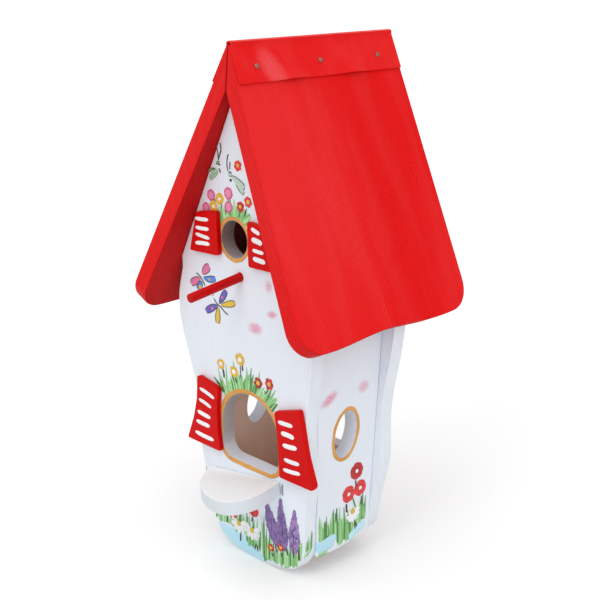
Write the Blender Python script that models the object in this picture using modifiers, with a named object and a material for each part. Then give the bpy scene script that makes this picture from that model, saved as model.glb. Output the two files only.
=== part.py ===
"""Two-in-one birdhouse: a nest box over an open feeding chamber, in a crooked storybook shape.

Dimensions are in millimetres and are turned into metres where the shapes are made.
X points right seen from the front, Y points to the back and Z points up.
"""

import math

import bmesh
import bpy
from mathutils import Matrix, Vector

# ---------------------------------------------------------------- clearances
FIT_GAP = 0.3            # air left between two wooden faces that meet
SHANK_GAP = 0.3          # air around the shank of a nail or screw
EDGE_ROUND = 1.2         # sanded round-over on the sawn boards
SMALL_ROUND = 0.8        # round-over on the small glued pieces

# ---------------------------------------------------------------- roof
RIDGE_X = -11.0          # the ridge stands a little left of the arch
RIDGE_HEIGHT = 426.4
ROOF_SLOPE = 63.9        # degrees from level
ROOF_THICK = 15.2
ROOF_LENGTH = 239.5      # down the slope, outer face
ROOF_FRONT = -6.2        # front end of the ridge
ROOF_BACK = 176.0        # back end of the ridge
FRONT_FLARE = 0.100      # how far the front edge runs forward per length of slope
BACK_FLARE = -0.050
FRONT_CORNER = 20.0
BACK_CORNER = 23.0
EAVE_WAVE = 1.6          # half height of the wave along the eave
EAVE_WAVE_LENGTH = 125.0

# ---------------------------------------------------------------- boards
BOARD = 13.4             # front board, back board and side boards
FRONT_SIDE_X = 65.4      # outer face of the right side board
LEFT_SIDE_X = -51.0      # outer face of the left side board
BACK_LEAN = 4.4          # degrees the back board leans back
BACK_PIVOT_Z = 90.0      # height where the depth below is measured
BODY_DEPTH = 65.6        # between front board and back board at that height
RIGHT_SIDE_BOTTOM = 23.0
LEFT_SIDE_BOTTOM = 34.0
SIDE_RISE = 4.0          # how much the lower edge climbs towards the back

# edges of the front and back boards: (height, sideways position)
LEFT_EDGE = [(24, -44.5), (42, -50), (65, -56.3), (86, -61), (106, -64), (126, -65),
             (140, -66), (150, -69.5), (163, -74.3), (176, -79), (189, -83.3), (203, -85.6),
             (219, -85.3), (240, -80)]
FRONT_RIGHT_EDGE = [(30, 63.2), (43, 63.5), (66, 64.6), (80, 66.4), (96, 67.2), (112, 66.2),
                    (126, 65.7), (139, 65.8), (151, 66.6), (164, 68.1), (177, 69.8), (190, 71.4),
                    (205, 73), (222, 75), (250, 76)]
BACK_RIGHT_EDGE = [(30, 63.4), (40, 65), (53, 66.2), (65, 68.3), (75, 70.6), (86, 72.4),
                   (96, 72.8), (108, 71.8), (120, 70.5), (132, 70.1), (145, 71), (158, 72.6),
                   (173, 75), (187, 76.6), (202, 77.6), (222, 78), (250, 77)]
BACK_BOTTOM_EDGE = [(-40.5, 24), (-30, 20.5), (-12, 18.5), (6, 18), (26, 18.4), (42, 19.2), (53, 20.6),
                    (60, 24)]
BOTTOM_EDGE = [(-40.5, 17.5), (-35, 12), (-26, 8), (-13, 5.2), (4, 4.2), (22, 4.9), (38, 6.9),
               (49, 10.4), (56, 15), (60.5, 21.5)]

# ---------------------------------------------------------------- openings
HOLE_X = -14.2
HOLE_Z = 275.3
HOLE_RADIUS = 15.2
ARCH_X = 1.0
ARCH_SILL = 87.4
ARCH_WIDTH = 67.5
ARCH_HEIGHT = 61.8
ARCH_FOOT = 12.0         # radius of the two lower corners
ARCH_SPRING = 30.0       # height of the upright sides before the top curve starts
WINDOW_Y = 45.4
WINDOW_Z = 121.0
WINDOW_HALF_WIDTH = 12.4
WINDOW_HALF_HEIGHT = 19.8
WINDOW_TILT = 13.0       # degrees, top towards the back
CLEAN_X = -11.0
CLEAN_Z = 226.0
CLEAN_RADIUS = 25.0

# ---------------------------------------------------------------- floors
NEST_FLOOR_TOP = 178.0
FEEDER_FLOOR_TOP = 52.0
FLOOR_THICK = 12.0

# ---------------------------------------------------------------- ridge cap
CAP_THICK = 1.2
CAP_LEG = 33.0
CAP_BEND = 3.0
CAP_LIFT = 1.9           # how far the loose lower edge stands off between the nails
CAP_END_INSET = 1.0
CAP_STATIONS = 8         # points down each leg of the cap
NAIL_DOWN = 20.0         # nails below the ridge, along the slope
NAIL_AT = (13.5, 82.0, 149.0)
NAIL_HEAD_RADIUS = 2.1
NAIL_HEAD = 0.9
NAIL_SHANK_RADIUS = 0.9
NAIL_LENGTH = 9.0

# ---------------------------------------------------------------- perch and tray
PERCH_X = -8.0
PERCH_Z = 246.0
PERCH_RADIUS = 3.7
PERCH_OUT = 52.0
PERCH_IN = 9.0
PERCH_DROOP = 7.5        # degrees
TRAY_THICK = 11.5
TRAY_TILT = 8.7          # degrees, left end low
TRAY_X = -4.5
TRAY_Z = 78.3
TRAY_OUTLINE = [(-41.4, 0), (-40, -7), (-34.6, -15), (-26, -27), (-12, -39.5), (2, -47.6), (17, -53.2),
                (30, -54.6), (40, -51), (46, -41.5), (47.6, -31), (46.4, -20), (43, -7.5), (41.4, 0)]

# ---------------------------------------------------------------- shutters
SHUTTER_THICK = 4.6
UPPER_LEFT_SHUTTER = [(-54.8, 292.3), (-30, 296.4), (-28.4, 260.2), (-63.8, 258.6)]
UPPER_RIGHT_SHUTTER = [(5.6, 294), (36, 290.5), (42, 258.6), (6.8, 257.8)]
LOWER_LEFT_SHUTTER = [(-58.9, 151.6), (-32.2, 147), (-33.8, 128), (-33.6, 110), (-30.8, 90.6),
                      (-73.6, 90.8), (-64.8, 112.4), (-60.2, 130.5)]
LOWER_RIGHT_SHUTTER = [(34.4, 146), (62.8, 155), (66.8, 140), (71.8, 118), (80, 96), (77, 91.6),
                       (40, 91.2), (39.4, 110), (37.6, 128)]

# ---------------------------------------------------------------- clean-out cover
COVER_RADIUS = 33.0
COVER_THICK = 7.0
COVER_PIVOT_UP = 27.0    # pivot screw above the middle of the cover
SCREW_SHANK_RADIUS = 2.0
SCREW_HEAD_RADIUS = 4.0
SCREW_HEAD = 2.4
SCREW_IN = 9.0

ROUND_STEPS = 48
MM = 0.001

MATERIALS = {}
PART = None
CUTTERS = None


def start_scene():
    """Empty the scene and make the two collections."""
    global PART, CUTTERS
    for old in list(bpy.data.objects):
        bpy.data.objects.remove(old, do_unlink=True)
    for old in list(bpy.data.collections):
        bpy.data.collections.remove(old)
    PART = bpy.data.collections.new("birdhouse")
    CUTTERS = bpy.data.collections.new("cutters")
    bpy.context.scene.collection.children.link(PART)
    bpy.context.scene.collection.children.link(CUTTERS)


def material(name, colour, roughness=0.5, metallic=0.0):
    """Return the named material, made on first use."""
    if name not in MATERIALS:
        made = bpy.data.materials.new(name)
        made.use_nodes = True
        shader = made.node_tree.nodes["Principled BSDF"]
        shader.inputs["Base Color"].default_value = (*colour, 1.0)
        shader.inputs["Roughness"].default_value = roughness
        shader.inputs["Metallic"].default_value = metallic
        made.diffuse_color = (*colour, 1.0)
        MATERIALS[name] = made
    return MATERIALS[name]


def smooth_through(points, steps=3):
    """Points on an open smooth curve that passes through the given ones."""
    out = []
    last = len(points) - 1
    for i in range(last):
        before = points[max(i - 1, 0)]
        here = points[i]
        after = points[i + 1]
        beyond = points[min(i + 2, last)]
        for k in range(steps):
            t = k / steps
            out.append(tuple(
                0.5 * (2 * here[a] + (after[a] - before[a]) * t
                       + (2 * before[a] - 5 * here[a] + 4 * after[a] - beyond[a]) * t * t
                       + (3 * here[a] - before[a] - 3 * after[a] + beyond[a]) * t * t * t)
                for a in (0, 1)))
    out.append(points[last])
    return out


def rounded(points, radius, steps=4):
    """Closed outline with every corner turned into an arc of about the given radius."""
    out = []
    count = len(points)
    for i in range(count):
        corner = Vector(points[i])
        back = (Vector(points[i - 1]) - corner)
        on = (Vector(points[(i + 1) % count]) - corner)
        reach_back = min(radius, back.length * 0.45)
        reach_on = min(radius, on.length * 0.45)
        start = corner + back.normalized() * reach_back
        end = corner + on.normalized() * reach_on
        for k in range(steps + 1):
            t = k / steps
            place = start * (1 - t) ** 2 + corner * 2 * t * (1 - t) + end * t * t
            out.append((place.x, place.y))
    return out


def ellipse(x, y, half_x, half_y, tilt=0.0, steps=ROUND_STEPS):
    """Closed outline of an ellipse."""
    turn = math.radians(tilt)
    out = []
    for k in range(steps):
        a = 2 * math.pi * k / steps
        u = half_x * math.cos(a)
        v = half_y * math.sin(a)
        out.append((x + u * math.cos(turn) + v * math.sin(turn),
                    y - u * math.sin(turn) + v * math.cos(turn)))
    return out


def flat_mesh(name, outline, thick):
    """Mesh of a closed outline in local XY, extruded from z = 0 to z = thick."""
    curve = bpy.data.curves.new(name, "CURVE")
    curve.dimensions = "2D"
    curve.fill_mode = "BOTH"
    curve.extrude = thick * MM / 2
    line = curve.splines.new("POLY")
    line.points.add(len(outline) - 1)
    for point, (x, y) in zip(line.points, outline):
        point.co = (x * MM, y * MM, 0.0, 1.0)
    line.use_cyclic_u = True
    holder = bpy.data.objects.new(name + "_curve", curve)
    CUTTERS.objects.link(holder)
    seen = bpy.context.evaluated_depsgraph_get()
    mesh = bpy.data.meshes.new_from_object(holder.evaluated_get(seen))
    bpy.data.objects.remove(holder, do_unlink=True)
    work = bmesh.new()
    work.from_mesh(mesh)
    bmesh.ops.remove_doubles(work, verts=work.verts, dist=1e-6)
    bmesh.ops.dissolve_limit(work, angle_limit=0.001, verts=work.verts, edges=work.edges)
    bmesh.ops.translate(work, verts=work.verts, vec=(0.0, 0.0, thick * MM / 2))
    bmesh.ops.recalc_face_normals(work, faces=work.faces)
    work.to_mesh(mesh)
    work.free()
    mesh.name = name
    return mesh


def add_object(name, mesh, look=None, collection=None):
    """Link a mesh as a named object."""
    made = bpy.data.objects.new(name, mesh)
    (collection or PART).objects.link(made)
    if look is not None:
        mesh.materials.clear()
        mesh.materials.append(look)
    if collection is CUTTERS:
        made.hide_render = True
        made.display_type = "WIRE"
    return made


def upright(mesh, front):
    """Turn a flat mesh so its outline lies in XZ and it runs from y = front towards the back."""
    turn = Matrix(((1, 0, 0, 0), (0, 0, 1, front * MM), (0, 1, 0, 0), (0, 0, 0, 1)))
    mesh.transform(turn)
    tidy_normals(mesh)


def sideways(mesh, left):
    """Turn a flat mesh so its outline lies in YZ and it runs from x = left to the right."""
    turn = Matrix(((0, 0, 1, left * MM), (1, 0, 0, 0), (0, 1, 0, 0), (0, 0, 0, 1)))
    mesh.transform(turn)
    tidy_normals(mesh)


def tidy_normals(mesh):
    """Point every face outwards."""
    work = bmesh.new()
    work.from_mesh(mesh)
    bmesh.ops.recalc_face_normals(work, faces=work.faces)
    work.to_mesh(mesh)
    work.free()
    mesh.update()


def bake(target):
    """Apply the modifiers of an object to its mesh."""
    seen = bpy.context.evaluated_depsgraph_get()
    made = bpy.data.meshes.new_from_object(target.evaluated_get(seen))
    old = target.data
    target.modifiers.clear()
    target.data = made
    made.name = target.name
    bpy.data.meshes.remove(old)


def round_edges(target, width, segments=2, limit=40.0):
    """Sand the sharp edges of a board."""
    step = target.modifiers.new("sanded", "BEVEL")
    step.width = width * MM
    step.segments = segments
    step.limit_method = "ANGLE"
    step.angle_limit = math.radians(limit)
    step.use_clamp_overlap = True
    bake(target)


def cut(target, cutter):
    """Take the cutter away from the target."""
    step = target.modifiers.new("cut", "BOOLEAN")
    step.operation = "DIFFERENCE"
    step.solver = "EXACT"
    step.object = cutter
    bpy.context.view_layer.update()
    bake(target)


def outline_cutter(name, outline, low, high, turn):
    """Cutter prism from an outline, placed by the given turning function."""
    mesh = flat_mesh(name, outline, high - low)
    turn(mesh, low)
    return add_object(name, mesh, collection=CUTTERS)


def rod(name, radius, length, steps=24):
    """Mesh of a rod that stands on z = 0."""
    mesh = bpy.data.meshes.new(name)
    work = bmesh.new()
    bmesh.ops.create_cone(work, cap_ends=True, cap_tris=False, segments=steps,
                          radius1=radius * MM, radius2=radius * MM, depth=length * MM)
    bmesh.ops.translate(work, verts=work.verts, vec=(0.0, 0.0, length * MM / 2))
    work.to_mesh(mesh)
    work.free()
    return mesh


def shade_round(target, angle=35.0):
    """Smooth shading that keeps the sharp edges."""
    work = bmesh.new()
    work.from_mesh(target.data)
    for face in work.faces:
        face.smooth = True
    for edge in work.edges:
        if len(edge.link_faces) == 2:
            edge.smooth = edge.calc_face_angle(0.0) < math.radians(angle)
    work.to_mesh(target.data)
    work.free()


# ---------------------------------------------------------------- derived places
SLOPE = math.radians(ROOF_SLOPE)
LEAN = math.radians(BACK_LEAN)
ROOF_PLUMB = ROOF_THICK / math.cos(SLOPE)
UNDERSIDE_APEX = RIDGE_HEIGHT - ROOF_PLUMB


def back_face_y(height):
    """Depth of the front face of the leaning back board at a height."""
    return BOARD + BODY_DEPTH + (height - BACK_PIVOT_Z) * math.tan(LEAN)


def lean_back(mesh):
    """Tip an upright mesh about the line at the pivot height on the back board's front face."""
    pivot = Vector((0.0, back_face_y(BACK_PIVOT_Z) * MM, BACK_PIVOT_Z * MM))
    turn = Matrix.Translation(pivot) @ Matrix.Rotation(-LEAN, 4, "X") @ Matrix.Translation(-pivot)
    mesh.transform(turn)
    mesh.update()


def roof_matrix(side):
    """Place for a board drawn with x along the ridge and y down the slope, outer face at z = 0."""
    down = Vector((side * math.cos(SLOPE), 0.0, -math.sin(SLOPE)))
    inward = Vector((-side * math.sin(SLOPE), 0.0, -math.cos(SLOPE)))
    along = Vector((0.0, 1.0, 0.0))
    start = Vector((RIDGE_X, 0.0, RIDGE_HEIGHT)) * MM
    place = Matrix.Identity(4)
    for row in range(3):
        place[row][0] = along[row]
        place[row][1] = down[row]
        place[row][2] = inward[row]
        place[row][3] = start[row]
    return place


def roof_space(gap):
    """Cutter for everything above the underside of the roof."""
    reach = 200.0
    drop = reach * math.tan(SLOPE)
    apex = UNDERSIDE_APEX - gap / math.cos(SLOPE)
    outline = [(RIDGE_X, apex), (RIDGE_X + reach, apex - drop), (RIDGE_X + reach, apex + 150),
               (RIDGE_X - reach, apex + 150), (RIDGE_X - reach, apex - drop)]
    return outline_cutter("cutter_roof_space", outline, -120.0, 320.0, upright)


def board_outline(right_edge, bottom_edge):
    """Outline of a wavy board, open at the top where the roof space cuts it."""
    left = smooth_through([(x, z) for z, x in LEFT_EDGE if z > bottom_edge[0][1] + 4.0])
    right = smooth_through([(x, z) for z, x in right_edge])
    bottom = smooth_through(bottom_edge)
    top = [(right_edge[-1][1], UNDERSIDE_APEX), (LEFT_EDGE[-1][1], UNDERSIDE_APEX)]
    return bottom + right + top + left[::-1]


def arch_outline(grow=0.0):
    """Outline of the arched opening, optionally grown outwards."""
    half = ARCH_WIDTH / 2
    spring = ARCH_SILL + ARCH_SPRING
    rise = ARCH_HEIGHT - ARCH_SPRING
    out = []
    for k in range(25):
        a = math.pi * k / 24
        out.append((ARCH_X + (half + grow) * math.cos(a), spring + (rise + grow) * math.sin(a)))
    for side, first in ((-1, 180.0), (1, 270.0)):
        for k in range(7):
            a = math.radians(first + 90.0 * k / 6)
            out.append((ARCH_X + side * (half - ARCH_FOOT) + (ARCH_FOOT + grow) * math.cos(a),
                        ARCH_SILL + ARCH_FOOT + (ARCH_FOOT + grow) * math.sin(a)))
    return out


# ---------------------------------------------------------------- pieces
def build_boards():
    """Front board, back board and the two side boards."""
    white = material("white_paint", (0.80, 0.83, 0.87), 0.55)
    space = roof_space(FIT_GAP)
    arch = arch_outline()

    front = flat_mesh("front_board", board_outline(FRONT_RIGHT_EDGE, BOTTOM_EDGE), BOARD)
    upright(front, 0.0)
    front = add_object("front_board", front, white)
    cut(front, space)
    round_edges(front, EDGE_ROUND)
    cut(front, outline_cutter("cutter_front_arch", arch, -5.0, BOARD + 5.0, upright))
    hole = ellipse(HOLE_X, HOLE_Z, HOLE_RADIUS, HOLE_RADIUS)
    cut(front, outline_cutter("cutter_entry_hole", hole, -5.0, BOARD + 5.0, upright))

    back = flat_mesh("back_board", board_outline(BACK_RIGHT_EDGE, BACK_BOTTOM_EDGE), BOARD)
    upright(back, BOARD + BODY_DEPTH)
    lean_back(back)
    back = add_object("back_board", back, white)
    cut(back, space)
    round_edges(back, EDGE_ROUND)
    for name, outline in (("cutter_back_arch", arch),
                          ("cutter_clean_out", ellipse(CLEAN_X, CLEAN_Z, CLEAN_RADIUS, CLEAN_RADIUS))):
        tool = outline_cutter(name, outline, BOARD + BODY_DEPTH - 5.0, 2 * BOARD + BODY_DEPTH + 5.0, upright)
        lean_back(tool.data)
        cut(back, tool)

    window = ellipse(WINDOW_Y, WINDOW_Z, WINDOW_HALF_WIDTH, WINDOW_HALF_HEIGHT, WINDOW_TILT)
    for name, left, bottom in (("side_board_right", FRONT_SIDE_X - BOARD, RIGHT_SIDE_BOTTOM),
                               ("side_board_left", LEFT_SIDE_X, LEFT_SIDE_BOTTOM)):
        near = BOARD + FIT_GAP
        gap = FIT_GAP / math.cos(LEAN)
        top = UNDERSIDE_APEX
        outline = [(near, bottom)]
        outline += smooth_through([(near + 14, bottom - 1.2), (near + 30, bottom - 1.0),
                                   (near + 46, bottom + 1.2)])
        outline += [(back_face_y(bottom + SIDE_RISE) - gap, bottom + SIDE_RISE),
                    (back_face_y(top) - gap, top), (near, top)]
        board = flat_mesh(name, outline, BOARD)
        sideways(board, left)
        board = add_object(name, board, white)
        cut(board, space)
        cut(board, outline_cutter("cutter_window_" + name, window, left - 5.0, left + BOARD + 5.0, sideways))


def build_floors():
    """Nest floor and feeder floor, both held between the four boards."""
    wood = material("bare_wood", (0.46, 0.33, 0.24), 0.7)
    left = LEFT_SIDE_X + BOARD + FIT_GAP
    right = FRONT_SIDE_X - BOARD - FIT_GAP
    near = BOARD + FIT_GAP
    gap = FIT_GAP / math.cos(LEAN)
    for name, top in (("nest_floor", NEST_FLOOR_TOP), ("feeder_floor", FEEDER_FLOOR_TOP)):
        low = top - FLOOR_THICK
        outline = [(near, low), (back_face_y(low) - gap, low), (back_face_y(top) - gap, top), (near, top)]
        floor = flat_mesh(name, outline, right - left)
        sideways(floor, left)
        add_object(name, floor, wood)


def roof_outline():
    """Outline of a roof board: x along the ridge, y down the slope."""
    def front(s):
        return ROOF_FRONT - FRONT_FLARE * s

    def back(s):
        return ROOF_BACK + BACK_FLARE * s

    def eave(along):
        return ROOF_LENGTH + EAVE_WAVE * math.cos(2 * math.pi * along / EAVE_WAVE_LENGTH)

    out = [(front(0.0), 0.0)]
    start = ROOF_LENGTH - FRONT_CORNER
    steps = 8
    corner = front(ROOF_LENGTH)
    for k in range(steps + 1):
        a = math.radians(90.0 * k / steps)
        along = front(start) + FRONT_CORNER * (1 - math.cos(a))
        down = start + FRONT_CORNER * math.sin(a)
        out.append((along, down + (eave(corner + FRONT_CORNER) - ROOF_LENGTH) * math.sin(a)))
    first = front(start) + FRONT_CORNER
    last = back(ROOF_LENGTH) - BACK_CORNER
    pieces = 24
    for k in range(1, pieces):
        along = first + (last - first) * k / pieces
        out.append((along, eave(along)))
    for k in range(steps + 1):
        a = math.radians(90.0 - 90.0 * k / steps)
        start = ROOF_LENGTH - BACK_CORNER
        along = back(start) - BACK_CORNER * (1 - math.cos(a))
        down = start + BACK_CORNER * math.sin(a)
        out.append((along, down + (eave(last) - ROOF_LENGTH) * math.sin(a)))
    out.append((back(0.0), 0.0))
    return out


def build_roof():
    """Two roof boards mitred at the ridge, the folded cap and its nails."""
    red = material("red_roof_paint", (0.80, 0.02, 0.02), 0.4)
    cap_red = material("red_cap", (0.85, 0.03, 0.02), 0.35)
    steel = material("nail_steel", (0.55, 0.50, 0.48), 0.4, 1.0)
    half_gap = FIT_GAP / 2
    boards = {}
    for name, side in (("roof_board_right", 1), ("roof_board_left", -1)):
        mesh = flat_mesh(name, roof_outline(), ROOF_THICK)
        mesh.transform(roof_matrix(side))
        tidy_normals(mesh)
        board = add_object(name, mesh, red)
        far = RIDGE_X - side * 120.0
        near = RIDGE_X + side * half_gap
        low = UNDERSIDE_APEX - 120.0
        high = RIDGE_HEIGHT + 60.0
        block = [(far, low), (near, low), (near, high), (far, high)]
        cut(board, outline_cutter("cutter_mitre_" + name, block, -80.0, 260.0, upright))
        round_edges(board, EDGE_ROUND + 0.4)
        boards[side] = board

    cap = add_object("ridge_cap", cap_mesh(), cap_red)
    for side in (1, -1):
        for number, along in enumerate(NAIL_AT, start=1):
            seat = nail_seat(side, along)
            tool = rod("cutter_nail", NAIL_SHANK_RADIUS + SHANK_GAP, NAIL_LENGTH + 6.0, 16)
            tool.transform(Matrix.Translation((0.0, 0.0, -(NAIL_LENGTH + SHANK_GAP) * MM)))
            tool.transform(seat)
            tool = add_object("cutter_nail_%s_%d" % ("right" if side > 0 else "left", number), tool,
                              collection=CUTTERS)
            cut(cap, tool)
            cut(boards[side], tool)
            nail = add_object("cap_nail_%s_%d" % ("right" if side > 0 else "left", number),
                              nail_mesh(), steel)
            nail.data.transform(seat)
            shade_round(nail)
    shade_round(cap, 50.0)
    for board in boards.values():
        shade_round(board, 50.0)


def cap_lift(along, share):
    """How far the cap stands off the roof board; only the loose lower edge moves."""
    between = [0.5 * (NAIL_AT[0] + NAIL_AT[1]), 0.5 * (NAIL_AT[1] + NAIL_AT[2])]
    rise = 0.0
    for middle in between:
        rise += math.exp(-((along - middle) / 11.0) ** 2)
    return CAP_LIFT * rise * share ** 3


def cap_mesh():
    """Thin folded sheet over the ridge, closed with Solidify."""
    front = ROOF_FRONT + CAP_END_INSET
    back = ROOF_BACK - CAP_END_INSET
    rows = 44
    legs = [k / (CAP_STATIONS - 1) for k in range(CAP_STATIONS)]
    bend_steps = 4
    mesh = bpy.data.meshes.new("ridge_cap")
    work = bmesh.new()
    grid = []
    for i in range(rows + 1):
        t = i / rows
        row = []
        for side, order in ((-1, reversed(legs)), (1, legs)):
            down = Vector((side * math.cos(SLOPE), 0.0, -math.sin(SLOPE)))
            out = Vector((side * math.sin(SLOPE), 0.0, math.cos(SLOPE)))
            if side == 1:
                for k in range(1, bend_steps):
                    a = (k / bend_steps - 0.5) * 2 * SLOPE
                    centre = Vector((RIDGE_X, 0.0, RIDGE_HEIGHT + FIT_GAP / math.cos(SLOPE) - CAP_BEND))
                    top = Vector((math.sin(a) * CAP_BEND, 0.0, math.cos(a) * CAP_BEND))
                    row.append((centre + top, t, 0.0))
            for share in order:
                reach = CAP_BEND * math.tan(SLOPE) * 0.45 + share * (CAP_LEG - CAP_BEND)
                row.append(((down * reach + out * FIT_GAP), t, share, out))
        grid.append(row)
    made = []
    for row in grid:
        line = []
        for entry in row:
            base, t, share = entry[0], entry[1], entry[2]
            along_front = front - FRONT_FLARE * share * CAP_LEG
            along_back = back + BACK_FLARE * share * CAP_LEG
            along = along_front + (along_back - along_front) * t
            place = Vector(base)
            if len(entry) == 4:
                place = place + entry[3] * cap_lift(along, share)
                place = place + Vector((RIDGE_X, 0.0, RIDGE_HEIGHT))
            place.y = along
            line.append(work.verts.new(place * MM))
        made.append(line)
    for i in range(rows):
        for j in range(len(made[0]) - 1):
            work.faces.new((made[i][j], made[i + 1][j], made[i + 1][j + 1], made[i][j + 1]))
    bmesh.ops.recalc_face_normals(work, faces=work.faces)
    up = sum((face.normal.z for face in work.faces))
    if up < 0:
        bmesh.ops.reverse_faces(work, faces=work.faces)
    work.to_mesh(mesh)
    work.free()
    holder = add_object("ridge_cap_sheet", mesh, collection=CUTTERS)
    step = holder.modifiers.new("sheet", "SOLIDIFY")
    step.thickness = CAP_THICK * MM
    step.offset = 1.0
    step.use_even_offset = False
    bake(holder)
    shell = holder.data
    bpy.data.objects.remove(holder, do_unlink=True)
    return shell


def nail_seat(side, along):
    """Place of a nail: z out of the roof, origin on the outer face of the cap."""
    down = Vector((side * math.cos(SLOPE), 0.0, -math.sin(SLOPE)))
    out = Vector((side * math.sin(SLOPE), 0.0, math.cos(SLOPE)))
    place = Vector((RIDGE_X, along, RIDGE_HEIGHT)) + down * NAIL_DOWN + out * (FIT_GAP + CAP_THICK)
    turn = out.to_track_quat("Z", "Y").to_matrix().to_4x4()
    return Matrix.Translation(place * MM) @ turn


def nail_mesh():
    """Nail with a low domed head, origin under the head."""
    mesh = bpy.data.meshes.new("cap_nail")
    work = bmesh.new()
    profile = [(0.0, NAIL_HEAD + FIT_GAP), (NAIL_HEAD_RADIUS * 0.6, NAIL_HEAD * 0.85 + FIT_GAP),
               (NAIL_HEAD_RADIUS, NAIL_HEAD * 0.3 + FIT_GAP), (NAIL_HEAD_RADIUS, FIT_GAP),
               (NAIL_SHANK_RADIUS, FIT_GAP), (NAIL_SHANK_RADIUS, -NAIL_LENGTH + 2.0), (0.0, -NAIL_LENGTH)]
    line = [work.verts.new((x * MM, 0.0, z * MM)) for x, z in profile]
    edges = [work.edges.new((line[k], line[k + 1])) for k in range(len(line) - 1)]
    bmesh.ops.spin(work, geom=line + edges, cent=(0, 0, 0), axis=(0, 0, 1), angle=2 * math.pi,
                   steps=16, use_merge=True)
    bmesh.ops.remove_doubles(work, verts=work.verts, dist=1e-6)
    bmesh.ops.recalc_face_normals(work, faces=work.faces)
    work.to_mesh(mesh)
    work.free()
    return mesh


def build_front_details():
    """Perch, tray and the four shutters on the front board."""
    red = material("red_dowel_paint", (0.60, 0.03, 0.03), 0.45)
    shutter_red = material("red_shutter_paint", (0.72, 0.02, 0.02), 0.4)
    white = material("white_tray_paint", (0.84, 0.84, 0.88), 0.5)
    front = bpy.data.objects["front_board"]

    turn = Matrix.Translation(Vector((PERCH_X, 0.0, PERCH_Z)) * MM)
    turn = turn @ Matrix.Rotation(math.radians(90.0 + PERCH_DROOP), 4, "X")
    stick = rod("perch", PERCH_RADIUS, PERCH_OUT + PERCH_IN)
    stick.transform(Matrix.Translation((0.0, 0.0, -PERCH_IN * MM)))
    stick.transform(turn)
    perch = add_object("perch", stick, red)
    round_edges(perch, SMALL_ROUND, limit=60.0)
    shade_round(perch)
    bore = rod("cutter_perch", PERCH_RADIUS + FIT_GAP, PERCH_IN + FIT_GAP + 20.0)
    bore.transform(Matrix.Translation((0.0, 0.0, -(PERCH_IN + FIT_GAP) * MM)))
    bore.transform(turn)
    cut(front, add_object("cutter_perch", bore, collection=CUTTERS))

    tray = flat_mesh("tray", rounded_tray(), TRAY_THICK)
    tray.transform(Matrix.Translation(Vector((TRAY_X, -FIT_GAP, TRAY_Z)) * MM)
                   @ Matrix.Rotation(-math.radians(TRAY_TILT), 4, "Y")
                   @ Matrix.Translation((0.0, 0.0, -TRAY_THICK * MM)))
    tray = add_object("tray", tray, white)
    round_edges(tray, EDGE_ROUND)
    shade_round(tray, 50.0)

    for name, outline in (("shutter_upper_left", UPPER_LEFT_SHUTTER),
                          ("shutter_upper_right", UPPER_RIGHT_SHUTTER),
                          ("shutter_lower_left", LOWER_LEFT_SHUTTER),
                          ("shutter_lower_right", LOWER_RIGHT_SHUTTER)):
        shape = rounded(outline, 2.5)
        mesh = flat_mesh(name, shape, SHUTTER_THICK)
        upright(mesh, -SHUTTER_THICK - FIT_GAP)
        shutter = add_object(name, mesh, shutter_red)
        round_edges(shutter, SMALL_ROUND)
        shade_round(shutter, 50.0)
    shade_round(front, 40.0)
    for name in ("back_board", "side_board_left", "side_board_right"):
        shade_round(bpy.data.objects[name], 40.0)


def rounded_tray():
    """Half-round outline with the straight side on y = 0."""
    return smooth_through(TRAY_OUTLINE, 4)


def build_clean_out():
    """Round cover that swings on one screw over the clean-out hole at the back."""
    white = material("white_cover_paint", (0.80, 0.83, 0.87), 0.55)
    steel = material("screw_steel", (0.62, 0.60, 0.56), 0.35, 1.0)
    back = bpy.data.objects["back_board"]
    outer = 2 * BOARD + BODY_DEPTH
    pivot_z = CLEAN_Z + COVER_PIVOT_UP
    cover = flat_mesh("clean_out_cover", ellipse(CLEAN_X, CLEAN_Z, COVER_RADIUS, COVER_RADIUS), COVER_THICK)
    upright(cover, outer + FIT_GAP)
    cover = add_object("clean_out_cover", cover, white)
    round_edges(cover, EDGE_ROUND)

    profile_out = outer + COVER_THICK + 2 * FIT_GAP
    place = Matrix.Translation(Vector((CLEAN_X, profile_out, pivot_z)) * MM)
    place = place @ Matrix.Rotation(-math.pi / 2, 4, "X")
    bore = rod("cutter_pivot", SCREW_SHANK_RADIUS + SHANK_GAP, SCREW_IN + COVER_THICK + 12.0, 24)
    bore.transform(Matrix.Translation((0.0, 0.0, -(SCREW_IN + COVER_THICK + 2 * FIT_GAP + SHANK_GAP) * MM)))
    bore.transform(place)
    bore = add_object("cutter_pivot", bore, collection=CUTTERS)
    cut(cover, bore)
    lean_back(cover.data)
    lean_back(bore.data)
    cut(back, bore)

    mesh = bpy.data.meshes.new("cover_screw")
    work = bmesh.new()
    deep = SCREW_IN + COVER_THICK + 2 * FIT_GAP
    profile = [(0.0, SCREW_HEAD), (SCREW_HEAD_RADIUS * 0.55, SCREW_HEAD * 0.9),
               (SCREW_HEAD_RADIUS * 0.9, SCREW_HEAD * 0.5), (SCREW_HEAD_RADIUS, 0.0),
               (SCREW_SHANK_RADIUS, 0.0), (SCREW_SHANK_RADIUS, -deep + 3.0), (0.0, -deep)]
    line = [work.verts.new((x * MM, 0.0, z * MM)) for x, z in profile]
    edges = [work.edges.new((line[k], line[k + 1])) for k in range(len(line) - 1)]
    bmesh.ops.spin(work, geom=line + edges, cent=(0, 0, 0), axis=(0, 0, 1), angle=2 * math.pi,
                   steps=24, use_merge=True)
    bmesh.ops.remove_doubles(work, verts=work.verts, dist=1e-6)
    bmesh.ops.recalc_face_normals(work, faces=work.faces)
    work.to_mesh(mesh)
    work.free()
    mesh.transform(place)
    lean_back(mesh)
    screw = add_object("cover_screw", mesh, steel)
    shade_round(screw)
    shade_round(cover, 50.0)


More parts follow.
